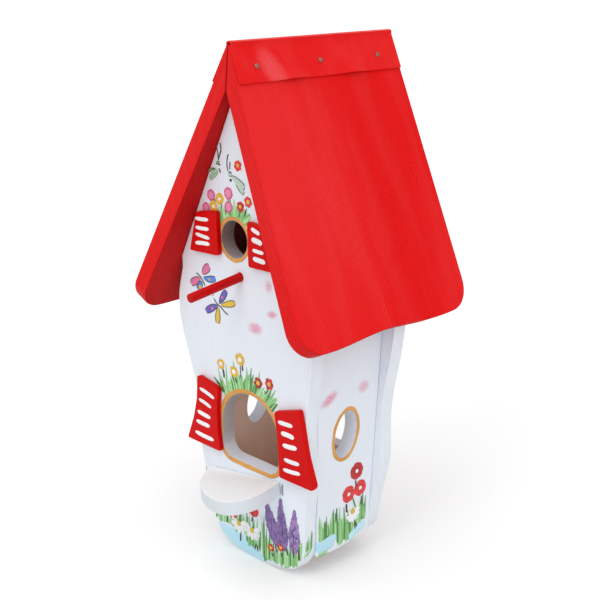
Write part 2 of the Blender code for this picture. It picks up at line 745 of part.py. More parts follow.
def place_origin():
    """Put the origin under the feeder floor, where the post is screwed on."""
    low = FEEDER_FLOOR_TOP - FLOOR_THICK
    middle = Vector(((LEFT_SIDE_X + FRONT_SIDE_X) / 2, (BOARD + back_face_y(low)) / 2, low))
    for piece in PART.objects:
        piece.data.transform(Matrix.Translation(-middle * MM))
    pivot = Vector((CLEAN_X, 2 * BOARD + BODY_DEPTH, CLEAN_Z + COVER_PIVOT_UP)) * MM
    marker = bpy.data.meshes.new("pivot")
    marker.from_pydata([pivot], [], [])
    lean_back(marker)
    pivot = marker.vertices[0].co.copy() - middle * MM
    bpy.data.meshes.remove(marker)
    cover = bpy.data.objects["clean_out_cover"]
    cover.data.transform(Matrix.Translation(-pivot))
    cover.location = pivot


def main():
    """Build every piece in order."""
    start_scene()
    build_boards()
    build_floors()
    build_roof()
    build_front_details()
    build_clean_out()
    place_origin()


main()
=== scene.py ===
"""Looks of a hand-painted wooden birdhouse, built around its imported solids.

Sizes are in millimetres unless a name says otherwise, and become metres where a mesh is made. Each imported
solid keeps its place: it is welded, eased and given its finish, and the brushwork is laid on the boards as
thin closed strokes of paint.
"""
import logging
import math
import random
from collections.abc import Callable, Mapping, Sequence
from dataclasses import dataclass
from enum import Enum

import bmesh
import bpy
from mathutils import Matrix, Vector
from mathutils.bvhtree import BVHTree


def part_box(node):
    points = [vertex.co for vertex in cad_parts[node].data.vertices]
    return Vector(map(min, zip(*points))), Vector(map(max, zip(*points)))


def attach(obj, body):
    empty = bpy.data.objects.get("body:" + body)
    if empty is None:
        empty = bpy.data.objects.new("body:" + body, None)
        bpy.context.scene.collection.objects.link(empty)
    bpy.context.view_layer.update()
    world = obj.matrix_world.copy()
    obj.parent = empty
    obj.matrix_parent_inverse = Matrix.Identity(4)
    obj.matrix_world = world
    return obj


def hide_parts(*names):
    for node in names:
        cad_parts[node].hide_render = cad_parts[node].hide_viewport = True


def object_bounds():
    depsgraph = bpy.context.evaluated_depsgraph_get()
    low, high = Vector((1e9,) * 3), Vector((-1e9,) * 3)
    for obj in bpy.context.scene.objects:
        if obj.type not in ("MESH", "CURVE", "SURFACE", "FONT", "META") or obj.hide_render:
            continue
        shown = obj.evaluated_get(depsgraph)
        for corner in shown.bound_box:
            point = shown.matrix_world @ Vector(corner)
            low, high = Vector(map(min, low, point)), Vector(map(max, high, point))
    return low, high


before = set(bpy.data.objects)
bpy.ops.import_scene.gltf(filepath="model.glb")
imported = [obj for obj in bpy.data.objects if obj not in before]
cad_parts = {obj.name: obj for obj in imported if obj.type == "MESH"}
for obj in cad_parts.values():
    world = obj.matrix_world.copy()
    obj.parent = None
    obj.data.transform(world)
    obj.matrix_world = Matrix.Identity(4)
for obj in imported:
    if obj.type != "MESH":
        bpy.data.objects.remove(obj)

CAD_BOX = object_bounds()
MM = 0.001
HOUSE = "house"
COVER = "cover"
PAINT_LAYER = "paint"        # colours that the strokes carry
WELD = 2e-5                  # metres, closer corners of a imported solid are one
FLAT_ANGLE = 0.6             # degrees, under which neighbouring triangles are one face
SHARP_ANGLE = 62             # degrees, over which an edge is eased
LAYER_LIMIT = 2500           # corners in one layer of strokes, which keeps it quick to add to
FAR = 900.0                  # well outside every board
BELOW_FACE = 2.5             # how deep under its face a board is felt for its edges
log = logging.getLogger("birdhouse")

Point = tuple[float, float]
Triple = tuple[float, float, float]
Tint = tuple[float, float, float, float]

SIDEWAYS: Triple = (1.0, 0.0, 0.0)
ENDWAYS: Triple = (0.0, 1.0, 0.0)
UPRIGHT: Triple = (0.0, 0.0, 1.0)


def tint(red: int, green: int, blue: int) -> Tint:
    """Linear colour from display values.

    Args:
        red: Display value from 0 to 255.
        green: Display value from 0 to 255.
        blue: Display value from 0 to 255.

    Returns:
        The linear colour with full alpha.
    """
    def linear(value: int) -> float:
        """Linear share of one display value."""
        share = value / 255
        return share / 12.92 if share <= 0.04045 else ((share + 0.055) / 1.055) ** 2.4

    return (linear(red), linear(green), linear(blue), 1.0)


def blended(first: Tint, second: Tint, share: float) -> Tint:
    """Colour between two colours."""
    return tuple(a + (b - a) * share for a, b in zip(first, second))


PURE_WHITE: Tint = (1.0, 1.0, 1.0, 1.0)
PURE_BLACK: Tint = (0.0, 0.0, 0.0, 1.0)


# ------------------------------------------------------------------ shader maths
class Sock:
    """A shader socket that takes part in Python expressions."""

    def __init__(self, tree: "Graph", socket: bpy.types.NodeSocket) -> None:
        """Wraps one output socket of a tree."""
        self.tree = tree
        self.socket = socket

    def _math(self, operation: str, *values: "Sock | float") -> "Sock":
        """Adds one Math node.

        Args:
            operation: The node's operation.
            values: Its inputs in order.

        Returns:
            The node's result.
        """
        sockets = dict(enumerate(values))
        return self.tree.out("ShaderNodeMath", {"operation": operation}, sockets)

    def __add__(self, other: "Sock | float") -> "Sock":
        """Sum."""
        return self._math("ADD", self, other)

    def __radd__(self, other: float) -> "Sock":
        """Sum with a number on the left."""
        return self._math("ADD", other, self)

    def __sub__(self, other: "Sock | float") -> "Sock":
        """Difference."""
        return self._math("SUBTRACT", self, other)

    def __rsub__(self, other: float) -> "Sock":
        """Difference from a number."""
        return self._math("SUBTRACT", other, self)

    def __mul__(self, other: "Sock | float") -> "Sock":
        """Product."""
        return self._math("MULTIPLY", self, other)

    def __rmul__(self, other: float) -> "Sock":
        """Product with a number on the left."""
        return self._math("MULTIPLY", other, self)

    def __truediv__(self, other: "Sock | float") -> "Sock":
        """Quotient."""
        return self._math("DIVIDE", self, other)

    def __pow__(self, other: float) -> "Sock":
        """Power."""
        return self._math("POWER", self, other)

    def sine(self) -> "Sock":
        """Sine of an angle in radians."""
        return self._math("SINE", self)

    def size(self) -> "Sock":
        """Absolute value."""
        return self._math("ABSOLUTE", self)

    def most(self, other: "Sock | float") -> "Sock":
        """The larger of two values."""
        return self._math("MAXIMUM", self, other)

    def step(self, low: float, high: float) -> "Sock":
        """Smooth rise from 0 at low to 1 at high.

        Args:
            low: Value that gives 0.
            high: Value that gives 1. Below low, the step falls.

        Returns:
            The eased share.
        """
        flipped = high < low
        span = {"From Min": min(low, high), "From Max": max(low, high), "Value": self,
                "To Min": 1.0 if flipped else 0.0, "To Max": 0.0 if flipped else 1.0}
        return self.tree.out("ShaderNodeMapRange", {"interpolation_type": "SMOOTHSTEP"}, span)

    def dot(self, direction: Triple) -> "Sock":
        """Length of a vector socket along a unit direction."""
        return self.tree.out("ShaderNodeVectorMath", {"operation": "DOT_PRODUCT"},
                             {0: self, 1: direction}, "Value")


class Graph:
    """Adds nodes to one node tree and wraps their outputs."""

    def __init__(self, node_tree: bpy.types.NodeTree) -> None:
        """Empties the node tree.

        Args:
            node_tree: The node tree of a material or a world.
        """
        self.nodes = node_tree.nodes
        self.links = node_tree.links
        self.nodes.clear()

    def node(self, kind: str, settings: Mapping[str, object] | None = None,
             sockets: Mapping[str | int, object] | None = None) -> bpy.types.Node:
        """Adds a node.

        Args:
            kind: The node's type.
            settings: The node's own properties.
            sockets: Values or links of its inputs, by name or number.

        Returns:
            The node.
        """
        made = self.nodes.new(kind)
        for key, value in (settings or {}).items():
            setattr(made, key, value)
        self.feed(made, sockets or {})
        return made

    def feed(self, node: bpy.types.Node, sockets: Mapping[str | int, object]) -> None:
        """Links or sets inputs of a node, by name or number.

        Args:
            node: The node.
            sockets: Values or links of its inputs.
        """
        for key, value in sockets.items():
            if isinstance(value, Sock):
                self.links.new(value.socket, node.inputs[key])
            else:
                node.inputs[key].default_value = value

    def out(self, kind: str, settings: Mapping[str, object], sockets: Mapping[str | int, object],
            output: str | int = 0) -> Sock:
        """Adds a node and wraps one of its outputs."""
        return Sock(self, self.node(kind, settings, sockets).outputs[output])

    def seen_by_eye(self) -> Sock:
        """Picks out rays that come from the camera, from gloss or through glass.

        Returns:
            1 for such rays, 0 for others.
        """
        rays = self.node("ShaderNodeLightPath")
        camera, glossy, through = (Sock(self, rays.outputs[name]) for name in
                                   ("Is Camera Ray", "Is Glossy Ray", "Is Transmission Ray"))
        return camera.most(glossy).most(through)


class Tree(Graph):
    """Builds the nodes of one material around a Principled shader."""

    def __init__(self, name: str) -> None:
        """Starts the material with its shader and output.

        Args:
            name: The material's name.
        """
        self.material = bpy.data.materials.new(name)
        self.material.use_nodes = True
        super().__init__(self.material.node_tree)
        self.shader = self.node("ShaderNodeBsdfPrincipled")
        self.surface = self.node("ShaderNodeOutputMaterial", {},
                                 {"Surface": Sock(self, self.shader.outputs["BSDF"])})

    def place(self) -> Sock:
        """Object coordinates in millimetres."""
        metres = self.out("ShaderNodeTexCoord", {}, {}, "Object")
        return self.out("ShaderNodeVectorMath", {"operation": "SCALE"}, {0: metres, "Scale": 1 / MM})

    def facing(self) -> Sock:
        """The surface direction in the object's own axes."""
        return self.out("ShaderNodeTexCoord", {}, {}, "Normal")

    def vector(self, x: Sock | float, y: Sock | float, z: Sock | float) -> Sock:
        """Vector of three values."""
        return self.out("ShaderNodeCombineXYZ", {}, {0: x, 1: y, 2: z})

    def noise(self, vector: Sock, scale: float = 1.0, detail: float = 2.0, rough: float = 0.5) -> Sock:
        """Noise from 0 to 1, with features about 1 / scale wide."""
        return self.out("ShaderNodeTexNoise", {},
                        {"Vector": vector, "Scale": scale, "Detail": detail, "Roughness": rough})

    def mix(self, share: Sock | float, first: Sock | Tint, second: Sock | Tint) -> Sock:
        """Colour between two colours.

        Args:
            share: How much of the second colour shows.
            first: Colour at 0.
            second: Colour at 1.

        Returns:
            The mixed colour.
        """
        return self.out("ShaderNodeMix", {"data_type": "RGBA"},
                        {0: share, 6: first, 7: second}, 2)

    def done(self, colour: Sock | Tint, rough: Sock | float, relief: Sock | None = None,
             **fixed: float) -> bpy.types.Material:
        """Connects the shader.

        Args:
            colour: Base colour.
            rough: Roughness.
            relief: Height of the surface in millimetres.
            fixed: Other shader values that are the same all over, with _ for a space in their names.

        Returns:
            The finished material.
        """
        sockets = {"Base Color": colour, "Roughness": rough}
        if relief is not None:
            sockets["Normal"] = self.out("ShaderNodeBump", {},
                                         {"Strength": 1.0, "Distance": MM, "Height": relief}, "Normal")
        sockets.update({key.replace("_", " "): value for key, value in fixed.items()})
        self.feed(self.shader, sockets)
        return self.material


# ------------------------------------------------------------------ finishes
@dataclass(frozen=True)
class Grain:
    """Directions and spacing of the growth lines in one board."""

    along: Triple
    across: Triple
    spacing: float = 3.2     # between growth lines
    wander: float = 5.0      # how far the lines stray from straight
    offset: float = 0.0      # keeps two boards from looking alike

    def lines(self, tree: Tree) -> tuple[Sock, Sock, Sock]:
        """Growth lines, fibres and slow clouds of a board.

        Args:
            tree: The material's nodes.

        Returns:
            The line share, the fibre share and the slow share, each from 0 to 1.
        """
        through = tuple(Vector(self.along).cross(Vector(self.across)))
        place = tree.place()
        a = place.dot(self.across) + self.offset
        b = place.dot(through)
        c = place.dot(self.along)
        sway = tree.noise(tree.vector(a / 46, b / 46, c / 190), detail=1.0)
        ripple = tree.noise(tree.vector(a / 9, b / 9, c / 60), detail=2.0)
        turns = a / self.spacing + sway * self.wander + ripple * 0.9 + b / (3 * self.spacing)
        wave = (turns * (2 * math.pi)).sine() * 0.5 + 0.5
        lines = wave ** 2.2
        fibre = tree.noise(tree.vector(a / 0.7, b / 0.7, c / 26), detail=3.0, rough=0.6)
        slow = tree.noise(tree.vector(a / 21, b / 21, c / 130), detail=2.0)
        return lines, fibre, slow


@dataclass(frozen=True)
class WashAndLightPatch:
    """A soft patch of colour on a board, as an ellipse in its own millimetres; it serves for thin colour
    rubbed on and for painted highlight and painted shade.
    """

    at: Point
    radii: Point
    colour: Tint
    turn: float = 0.0        # degrees
    soft: float = 0.35       # width of the fading edge, as a share of the radius
    speckle: float = 0.0     # how far the bristles break the patch up
    strength: float = 1.0

    def share(self, tree: Tree, a: Sock, b: Sock) -> Sock:
        """How much of the patch shows at a place.

        Args:
            tree: The material's nodes.
            a: Place across the board.
            b: Place up the board.

        Returns:
            The share from 0 to 1.
        """
        cosine, sine = math.cos(math.radians(self.turn)), math.sin(math.radians(self.turn))
        u = ((a - self.at[0]) * cosine + (b - self.at[1]) * sine) / self.radii[0]
        v = ((b - self.at[1]) * cosine - (a - self.at[0]) * sine) / self.radii[1]
        distance = (u * u + v * v) ** 0.5
        ragged = tree.noise(tree.vector(a / 2.2, b / 2.2, 0.0), detail=4.0, rough=0.7) - 0.5
        patch = (distance + ragged * (0.35 + self.speckle)).step(1 + self.soft / 2, 1 - self.soft / 2)
        if self.speckle:
            bristles = tree.noise(tree.vector(a / 1.1, b / 0.8, 3.0), detail=3.0, rough=0.7)
            patch = patch * bristles.step(0.30, 0.62)
        return patch * self.strength


@dataclass(frozen=True)
class Shade:
    """Painted shade: a deeper tone on the sides of a board that face one way."""

    way: Triple
    start: float             # how squarely a side faces that way where the tone starts
    full: float              # and where it is full
    tone: Tint
    strength: float
    both: bool = True        # also on the opposite side

    def over(self, tree: Tree, colour: Sock) -> Sock:
        """Colour with the tone laid over it.

        Args:
            tree: The material's nodes.
            colour: Colour below.

        Returns:
            The shaded colour.
        """
        facing = tree.facing().dot(self.way)
        facing = facing.size() if self.both else facing
        return tree.mix(facing.step(self.start, self.full) * self.strength, colour, self.tone)


@dataclass(frozen=True)
class PaintedWood:
    """Brushed satin paint through which the grain of the board still shows, with painted shade and painted
    highlights where they are given.
    """

    name: str
    grain: Grain
    colour: Tint
    valley: Tint             # tone in the growth lines
    bright: Tint             # tone where the paint is rubbed thin over a ridge
    relief: float = 0.10     # depth of the growth lines
    rough: float = 0.45
    valley_share: float = 0.5
    bright_share: float = 0.3
    gloss: float = 0.5                 # strength of the shine
    line_share: float = 0.75           # how much the growth lines show beside the fine fibres
    # painted shade: above this height the bare wood inside the nest chamber turns dark red
    nest_shade_from: float | None = None     # height above which the bare side is darkened
    bare_side: Triple | None = None    # direction towards the painted side
    bare_from: float = 0.0             # where the unpainted part ends, along the direction
    bare_within: float | None = None   # half width that the unpainted part keeps to, about the house's middle
    shades: tuple[Shade, ...] = ()
    washes_and_light: tuple[WashAndLightPatch, ...] = ()
    bore_shades: tuple[WashAndLightPatch, ...] = ()       # painted shade that only the walls of an opening take
    wash_axes: tuple[Triple, Triple] = (SIDEWAYS, UPRIGHT)

    def build(self) -> bpy.types.Material:
        """Makes the material.

        Returns:
            The material.
        """
        tree = Tree(self.name)
        lines, fibre, slow = self.grain.lines(tree)
        place = tree.place()
        cut_end = tree.facing().dot(self.grain.along).size().step(0.5, 0.9)
        valley = (lines * (slow.step(0.25, 0.75) * 0.7 + 0.3) * self.line_share
                  + fibre.step(0.45, 0.8) * (1 - self.line_share))
        colour = tree.mix(valley * self.valley_share, self.colour, self.valley)
        ridge = slow.step(0.42, 0.72) * (1 - lines) * (fibre * 0.5 + 0.5)
        colour = tree.mix(ridge * self.bright_share, colour, self.bright)
        colour = tree.mix(cut_end * fibre * 0.4, colour, self.valley)
        a = place.dot(self.wash_axes[0])
        b = place.dot(self.wash_axes[1])
        # these patches add thin colour, painted highlight and painted shade
        for colour_patch in self.washes_and_light:
            colour = tree.mix(colour_patch.share(tree, a, b), colour, colour_patch.colour)
        wall = tree.facing().dot(self.bare_side).size().step(0.7, 0.3) if self.bore_shades else None
        # painted shade on the walls of the openings
        for bore in self.bore_shades:
            colour = tree.mix(bore.share(tree, a, b) * wall, colour, bore.colour)
        for shade in self.shades:
            colour = shade.over(tree, colour)
        brushed = tree.noise(tree.vector(place.dot(self.grain.across) / 1.5, place.dot(ENDWAYS) / 9,
                                         place.dot(self.grain.along) / 45), detail=2.0)
        height = brushed * 0.05 - lines * self.relief - fibre * (self.relief * 0.55)
        rough = fibre * 0.14 + (self.rough - 0.07) + lines * 0.06
        if self.bare_side is not None:
            smear = (tree.noise(place, scale=0.35, detail=3.0) - 0.5) * 0.7
            aside = place.dot(SIDEWAYS).size() + smear
            if self.bare_within is None:
                bare = aside.step(self.bare_from + 0.35, self.bare_from - 0.35)
            else:
                depth = place.dot(self.bare_side) + smear
                bare = (depth.step(self.bare_from + 0.35, self.bare_from - 0.35)
                        * aside.step(self.bare_within + 0.35, self.bare_within - 0.35))
            wood = BareWood.tone(tree, lines, fibre, slow)
            if self.nest_shade_from is not None:
                # painted shade inside the nest chamber
                above = place.dot(UPRIGHT).step(self.nest_shade_from - 1, self.nest_shade_from + 1)
                wood = tree.mix(above * 0.93, wood, NEST_SHADE_RED)
            colour = tree.mix(bare, colour, wood)
            rough = rough + bare * 0.25
        return tree.done(colour, rough, height, Specular_IOR_Level=self.gloss)


@dataclass(frozen=True)
class BareWood:
    """Sawn softwood with no paint."""

    name: str
    grain: Grain

    @staticmethod
    def tone(tree: Tree, lines: Sock, fibre: Sock, slow: Sock) -> Sock:
        """Colour of the sawn wood.

        Args:
            tree: The material's nodes.
            lines: Growth lines.
            fibre: Fine fibres.
            slow: Slow clouds.

        Returns:
            The colour.
        """
        pale, late, aged = tint(238, 208, 190), tint(214, 178, 156), tint(226, 196, 178)
        colour = tree.mix(slow.step(0.3, 0.7), pale, aged)
        colour = tree.mix(lines * 0.18, colour, late)
        return tree.mix(fibre.step(0.4, 0.8) * 0.3, colour, late)

    def build(self) -> bpy.types.Material:
        """Makes the material.

        Returns:
            The material.
        """
        tree = Tree(self.name)
        lines, fibre, slow = self.grain.lines(tree)
        return tree.done(self.tone(tree, lines, fibre, slow), fibre * 0.2 + 0.6, lines * -0.12 - fibre * 0.15)


@dataclass(frozen=True)
class CapSheet:
    """Red flexible roofing sheet: smooth, with soft creases, a fine pebbled skin and a painted highlight on
    its crease.
    """

    name: str
    colour: Tint = tint(230, 8, 10)
    scuffed: Tint = tint(242, 64, 66)
    rough: float = 0.42
    # painted highlight: a pale wedge standing in for the light on the sheet's crease
    crease: WashAndLightPatch = WashAndLightPatch((-15.0, 365.0), (8.5, 16.0), tint(244, 104, 110), turn=28, soft=1.1, speckle=0.1,
                        strength=0.62)

    def build(self) -> bpy.types.Material:
        """Makes the material.

        Returns:
            The material.
        """
        tree = Tree(self.name)
        place = tree.place()
        clouds = tree.noise(place, scale=1 / 26, detail=3.0)
        pebble = tree.noise(place, scale=1.5, detail=2.0)
        crease = tree.noise(tree.vector(place.dot(SIDEWAYS) / 30, place.dot(ENDWAYS) / 12,
                                        place.dot(UPRIGHT) / 30), detail=1.0)
        scuff = tree.noise(tree.vector(place.dot(ENDWAYS) / 2.6, place.dot(UPRIGHT) / 17, 0.0),
                           detail=4.0, rough=0.7)
        colour = tree.mix(clouds.step(0.35, 0.75) * 0.25, self.colour, self.scuffed)
        colour = tree.mix(scuff.step(0.60, 0.75) * 0.2, colour, self.scuffed)
        # painted highlight on the crease
        cap_highlight = self.crease.share(tree, place.dot(ENDWAYS), place.dot(UPRIGHT))
        colour = tree.mix(cap_highlight, colour, self.crease.colour)
        height = pebble * 0.035 + crease * 0.5
        return tree.done(colour, clouds * 0.12 + (self.rough - 0.06) + scuff.step(0.6, 0.8) * 0.1, height,
                         Specular_IOR_Level=0.14)


@dataclass(frozen=True)
class Metal:
    """Bare fastener metal with dulled, slightly stained patches."""

    name: str
    colour: Tint
    stain: Tint
    rough: float = 0.38

    def build(self) -> bpy.types.Material:
        """Makes the material.

        Returns:
            The material.
        """
        tree = Tree(self.name)
        place = tree.place()
        patches = tree.noise(place, scale=0.9, detail=4.0, rough=0.65)
        scratches = tree.noise(place, scale=4.0, detail=2.0)
        dull = patches.step(0.42, 0.68)
        colour = tree.mix(dull, self.colour, self.stain)
        return tree.done(colour, dull * 0.25 + self.rough, scratches * 0.02 + patches * 0.03, Metallic=0.85)


@dataclass(frozen=True)
class BrushPaint:
    """Opaque craft paint, its colour carried by the strokes themselves."""

    name: str
    rough: float = 0.5
    fixed: Tint | None = None          # one colour for a piece that has no painted layer

    def build(self) -> bpy.types.Material:
        """Makes the material.

        Returns:
            The material.
        """
        tree = Tree(self.name)
        place = tree.place()
        own = self.fixed or tree.out("ShaderNodeAttribute", {"attribute_name": PAINT_LAYER}, {}, "Color")
        streaks = tree.noise(place, scale=0.55, detail=4.0, rough=0.7)
        bristle = tree.noise(place, scale=2.2, detail=2.0)
        pale = tree.mix(0.30, own, PURE_WHITE)
        deep = tree.mix(0.25, own, PURE_BLACK)
        colour = tree.mix(streaks.step(0.52, 0.80) * 0.55, own, pale)
        colour = tree.mix(streaks.step(0.42, 0.2) * 0.3, colour, deep)
        return tree.done(colour, bristle * 0.15 + (self.rough - 0.07), bristle * 0.05 + streaks * 0.04)


@dataclass(frozen=True)
class StudioFloor:
    """Pale seamless floor that turns white away from the shadow."""

    name: str = "studio_floor"
    colour: Tint = (0.8, 0.8, 0.8, 1.0)
    glow: float = 0.22       # added where the camera or a reflection sees it

    def build(self) -> bpy.types.Material:
        """Makes the material.

        Returns:
            The material.
        """
        tree = Tree(self.name)
        made = tree.done(self.colour, 0.9)
        plain = Sock(tree, tree.shader.outputs["BSDF"])
        glow = tree.out("ShaderNodeEmission", {}, {"Color": PURE_WHITE, "Strength": self.glow})
        bright = tree.out("ShaderNodeAddShader", {}, {0: plain, 1: glow})
        both = tree.out("ShaderNodeMixShader", {}, {0: tree.seen_by_eye(), 1: plain, 2: bright})
        tree.feed(tree.surface, {"Surface": both})
        return made


# ------------------------------------------------------------------ colours
WHITE = tint(236, 243, 252)
WHITE_VALLEY = tint(212, 220, 232)
WHITE_BRIGHT = tint(244, 247, 252)
ROOF_RED = tint(232, 8, 10)
ROOF_VALLEY = tint(214, 4, 6)
# ROOF_BRIGHT is the rubbed-thin tone on the grain's ridges and also the colour of the roof's painted
# highlight
ROOF_BRIGHT = tint(244, 62, 64)
# painted shade: the roof's broad darker patch towards the back
ROOF_PAINTED_SHADE = tint(222, 2, 4)
# painted shade on the roof boards' ends, undersides and downward edges
ROOF_END_SHADE = tint(208, 2, 2)
ROOF_UNDER_SHADE = tint(166, 0, 0)
ROOF_EAVE_SHADE = tint(190, 2, 2)
# painted shade: dark red for the bare wood inside the nest chamber
NEST_SHADE_RED = tint(136, 2, 2)
TRAY_WHITE = tint(245, 253, 255)
TRAY_VALLEY = tint(230, 240, 250)
TRAY_SHADE = tint(176, 186, 198)
PERCH_RED = tint(200, 8, 8)
PERCH_VALLEY = tint(160, 6, 6)
PERCH_BRIGHT = tint(214, 44, 42)
SHUTTER_RED = tint(214, 4, 4)
SHUTTER_VALLEY = tint(196, 2, 2)
SHUTTER_BRIGHT = tint(222, 36, 34)
GOLD = tint(224, 162, 72)
OCHRE = tint(200, 130, 48)
INK = tint(52, 58, 54)
SOFT_INK = tint(110, 112, 110)
LEAF = tint(134, 198, 120)
LEAF_PALE = tint(172, 222, 160)
LEAF_DARK = tint(74, 138, 62)
MOSS = tint(58, 112, 52)
MINT = tint(190, 220, 198)
WATER = tint(194, 238, 254)
ROSE = tint(222, 92, 142)
ROSE_PALE = tint(230, 150, 184)
PINK = tint(220, 118, 164)
BLUSH = tint(226, 112, 152)
SUN = tint(230, 190, 56)
SUN_DEEP = tint(232, 182, 44)
SCARLET = tint(232, 44, 46)
CRIMSON = tint(188, 20, 24)
SKY = tint(86, 142, 236)
VIOLET = tint(104, 96, 190)
LAVENDER = tint(142, 110, 172)
LAVENDER_PALE = tint(166, 132, 192)
LAVENDER_DEEP = tint(112, 86, 148)
SNOW = tint(248, 250, 253)
# painted shadow in the open ends of the tray's slot
SLOT_SHADOW_GREY = tint(160, 156, 156)

# The wall paint, shared by the boards and the clean-out cover.
WHITE_COAT = {"colour": WHITE, "valley": WHITE_VALLEY, "bright": WHITE_BRIGHT, "relief": 0.035,
              "rough": 0.5, "valley_share": 0.34, "bright_share": 0.25, "line_share": 0.3}


# ------------------------------------------------------------------ pieces from the frame
def meshed(work: bmesh.types.BMesh, name: str) -> bpy.types.Mesh:
    """Mesh of a bmesh, which is freed.

    Args:
        work: The bmesh.
        name: The mesh's name.

    Returns:
        The mesh.
    """
    mesh = bpy.data.meshes.new(name)
    work.to_mesh(mesh)
    work.free()
    return mesh


def in_order(work: bmesh.types.BMesh) -> None:
    """Sorts corners and faces by place, so that each run gives the same mesh.

    Args:
        work: The bmesh.
    """
    for items, place in ((work.verts, lambda vert: vert.co),
                         (work.faces, lambda face: face.calc_center_median())):
        ranked = sorted(items, key=lambda item: tuple(place(item)))
        ranks = {item: rank for rank, item in enumerate(ranked)}
        items.sort(key=ranks.get)


def shown(name: str, data: bpy.types.ID) -> bpy.types.Object:
    """Object of a mesh, light or camera, linked to the scene.

    Args:
        name: The object's name.
        data: Its mesh, light or camera.

    Returns:
        The object.
    """
    made = bpy.data.objects.new(name, data)
    bpy.context.scene.collection.objects.link(made)
    if isinstance(data, bpy.types.Mesh):
        log.info("%s: %d faces", name, len(data.polygons))
    return made


def refined(node: str, name: str, ease: float = 0.0, crease: float = 38.0) -> bpy.types.Object:
    """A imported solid, welded and with its sharp edges eased.

    Args:
        node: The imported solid's name.
        name: The new piece's name.
        ease: Width of the eased edge in millimetres, or 0.
        crease: Angle in degrees above which an edge stays crisp.

    Returns:
        The piece, at the origin.
    """
    work = bmesh.new()
    work.from_mesh(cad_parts[node].data)
    bmesh.ops.remove_doubles(work, verts=work.verts, dist=WELD)
    bmesh.ops.dissolve_limit(work, angle_limit=math.radians(FLAT_ANGLE), verts=work.verts, edges=work.edges)
    if ease:
        sharp = [edge for edge in work.edges if edge.calc_face_angle(0.0) > math.radians(SHARP_ANGLE)]
        bmesh.ops.bevel(work, geom=sharp, offset=ease * MM, offset_type="OFFSET", segments=2, profile=0.5,
                        affect="EDGES", clamp_overlap=True, material=-1)
    for face in work.faces:
        face.smooth = True
    for edge in work.edges:
        edge.smooth = edge.calc_face_angle(0.0) < math.radians(crease)
    made = shown(name, meshed(work, name))
    shading = made.modifiers.new("even shading", "WEIGHTED_NORMAL")
    shading.keep_sharp = True
    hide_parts(node)
    return made


@dataclass(frozen=True)
class Part:
    """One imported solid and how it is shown."""

    node: str
    slot: str
    body: str = HOUSE
    ease: float = 0.0
    crease: float = 38.0

    def make(self, finish: bpy.types.Material) -> bpy.types.Object:
        """Builds the piece and dresses it.

        Args:
            finish: The piece's material.

        Returns:
            The piece.
        """
        made = refined(self.node, self.node + "_finished", self.ease, self.crease)
        made.data.materials.clear()
        made.data.materials.append(finish)
        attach(made, self.body)
        return made


# ------------------------------------------------------------------ brushwork
class Outline:
    """The outer edges of one flat board, so that paint stays on it."""

    def __init__(self, node: str, face: "Face", margin: float) -> None:
        """Keeps the board's solid, whose edges are looked up where a stroke needs them.

        Args:
            node: The board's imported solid.
            face: Its painted face.
            margin: How far paint stops inside an edge.
        """
        work = bmesh.new()
        work.from_mesh(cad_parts[node].data)
        self.board = BVHTree.FromBMesh(work)
        work.free()
        self.face = face
        self.margin = margin
        self.known: dict[tuple[int, int], float | None] = {}

    def reach(self, way: int, place: int) -> float | None:
        """Where the board starts, felt from outside.

        Args:
            way: 0 from below, 1 from the low side, 2 from the high side.
            place: Whole millimetres along the other direction.

        Returns:
            The edge's own millimetre, or None beside the board.
        """
        if (way, place) not in self.known:
            start = ((place, -FAR), (-FAR, place), (FAR, place))[way]
            heading = (self.face.up, self.face.across, -self.face.across)[way]
            spot = self.board.ray_cast(self.face.place(*start, -BELOW_FACE), heading)[0]
            axis = self.face.up if way == 0 else self.face.across
            self.known[way, place] = (spot - self.face.origin).dot(axis) / MM if spot else None
        return self.known[way, place]

    def edge(self, way: int, place: float) -> float | None:
        """Edge at any place, between two felt ones.

        Args:
            way: 0 from below, 1 from the low side, 2 from the high side.
            place: Millimetres along the other direction.

        Returns:
            The edge's own millimetre, or None beside the board.
        """
        low = math.floor(place)
        first, second = self.reach(way, low), self.reach(way, low + 1)
        if first is None or second is None:
            return None
        return first + (second - first) * (place - low)

    def inside(self, a: float, b: float) -> Point:
        """The nearest place that is on the board.

        Args:
            a: Place across the face.
            b: Place up the face.

        Returns:
            The same place, or the nearest one inside the margin.
        """
        left, right = self.edge(1, b), self.edge(2, b)
        if left is not None and right is not None:
            a = min(max(a, left + self.margin), right - self.margin)
        foot = self.edge(0, a)
        return (a, b if foot is None else max(b, foot + self.margin))


class EndFace:
    """The wavy right edge of a board, measured front to back and up."""

    def __init__(self, outline: Outline) -> None:
        """Keeps the outline whose high side is painted."""
        self.outline = outline

    def place(self, a: float, b: float, lift: float) -> Vector:
        """Point in metres at a place on the edge, lifted off it."""
        return Vector((self.outline.edge(2, b) + lift, a, b)) * MM


@dataclass(frozen=True)
class Face:
    """A flat painted face, measured across and up in its own millimetres."""

    origin: Vector
    across: Vector
    up: Vector
    out: Vector

    def place(self, a: float, b: float, lift: float) -> Vector:
        """Point in metres at a place on the face, lifted off it."""
        return self.origin + (self.across * a + self.up * b + self.out * lift) * MM


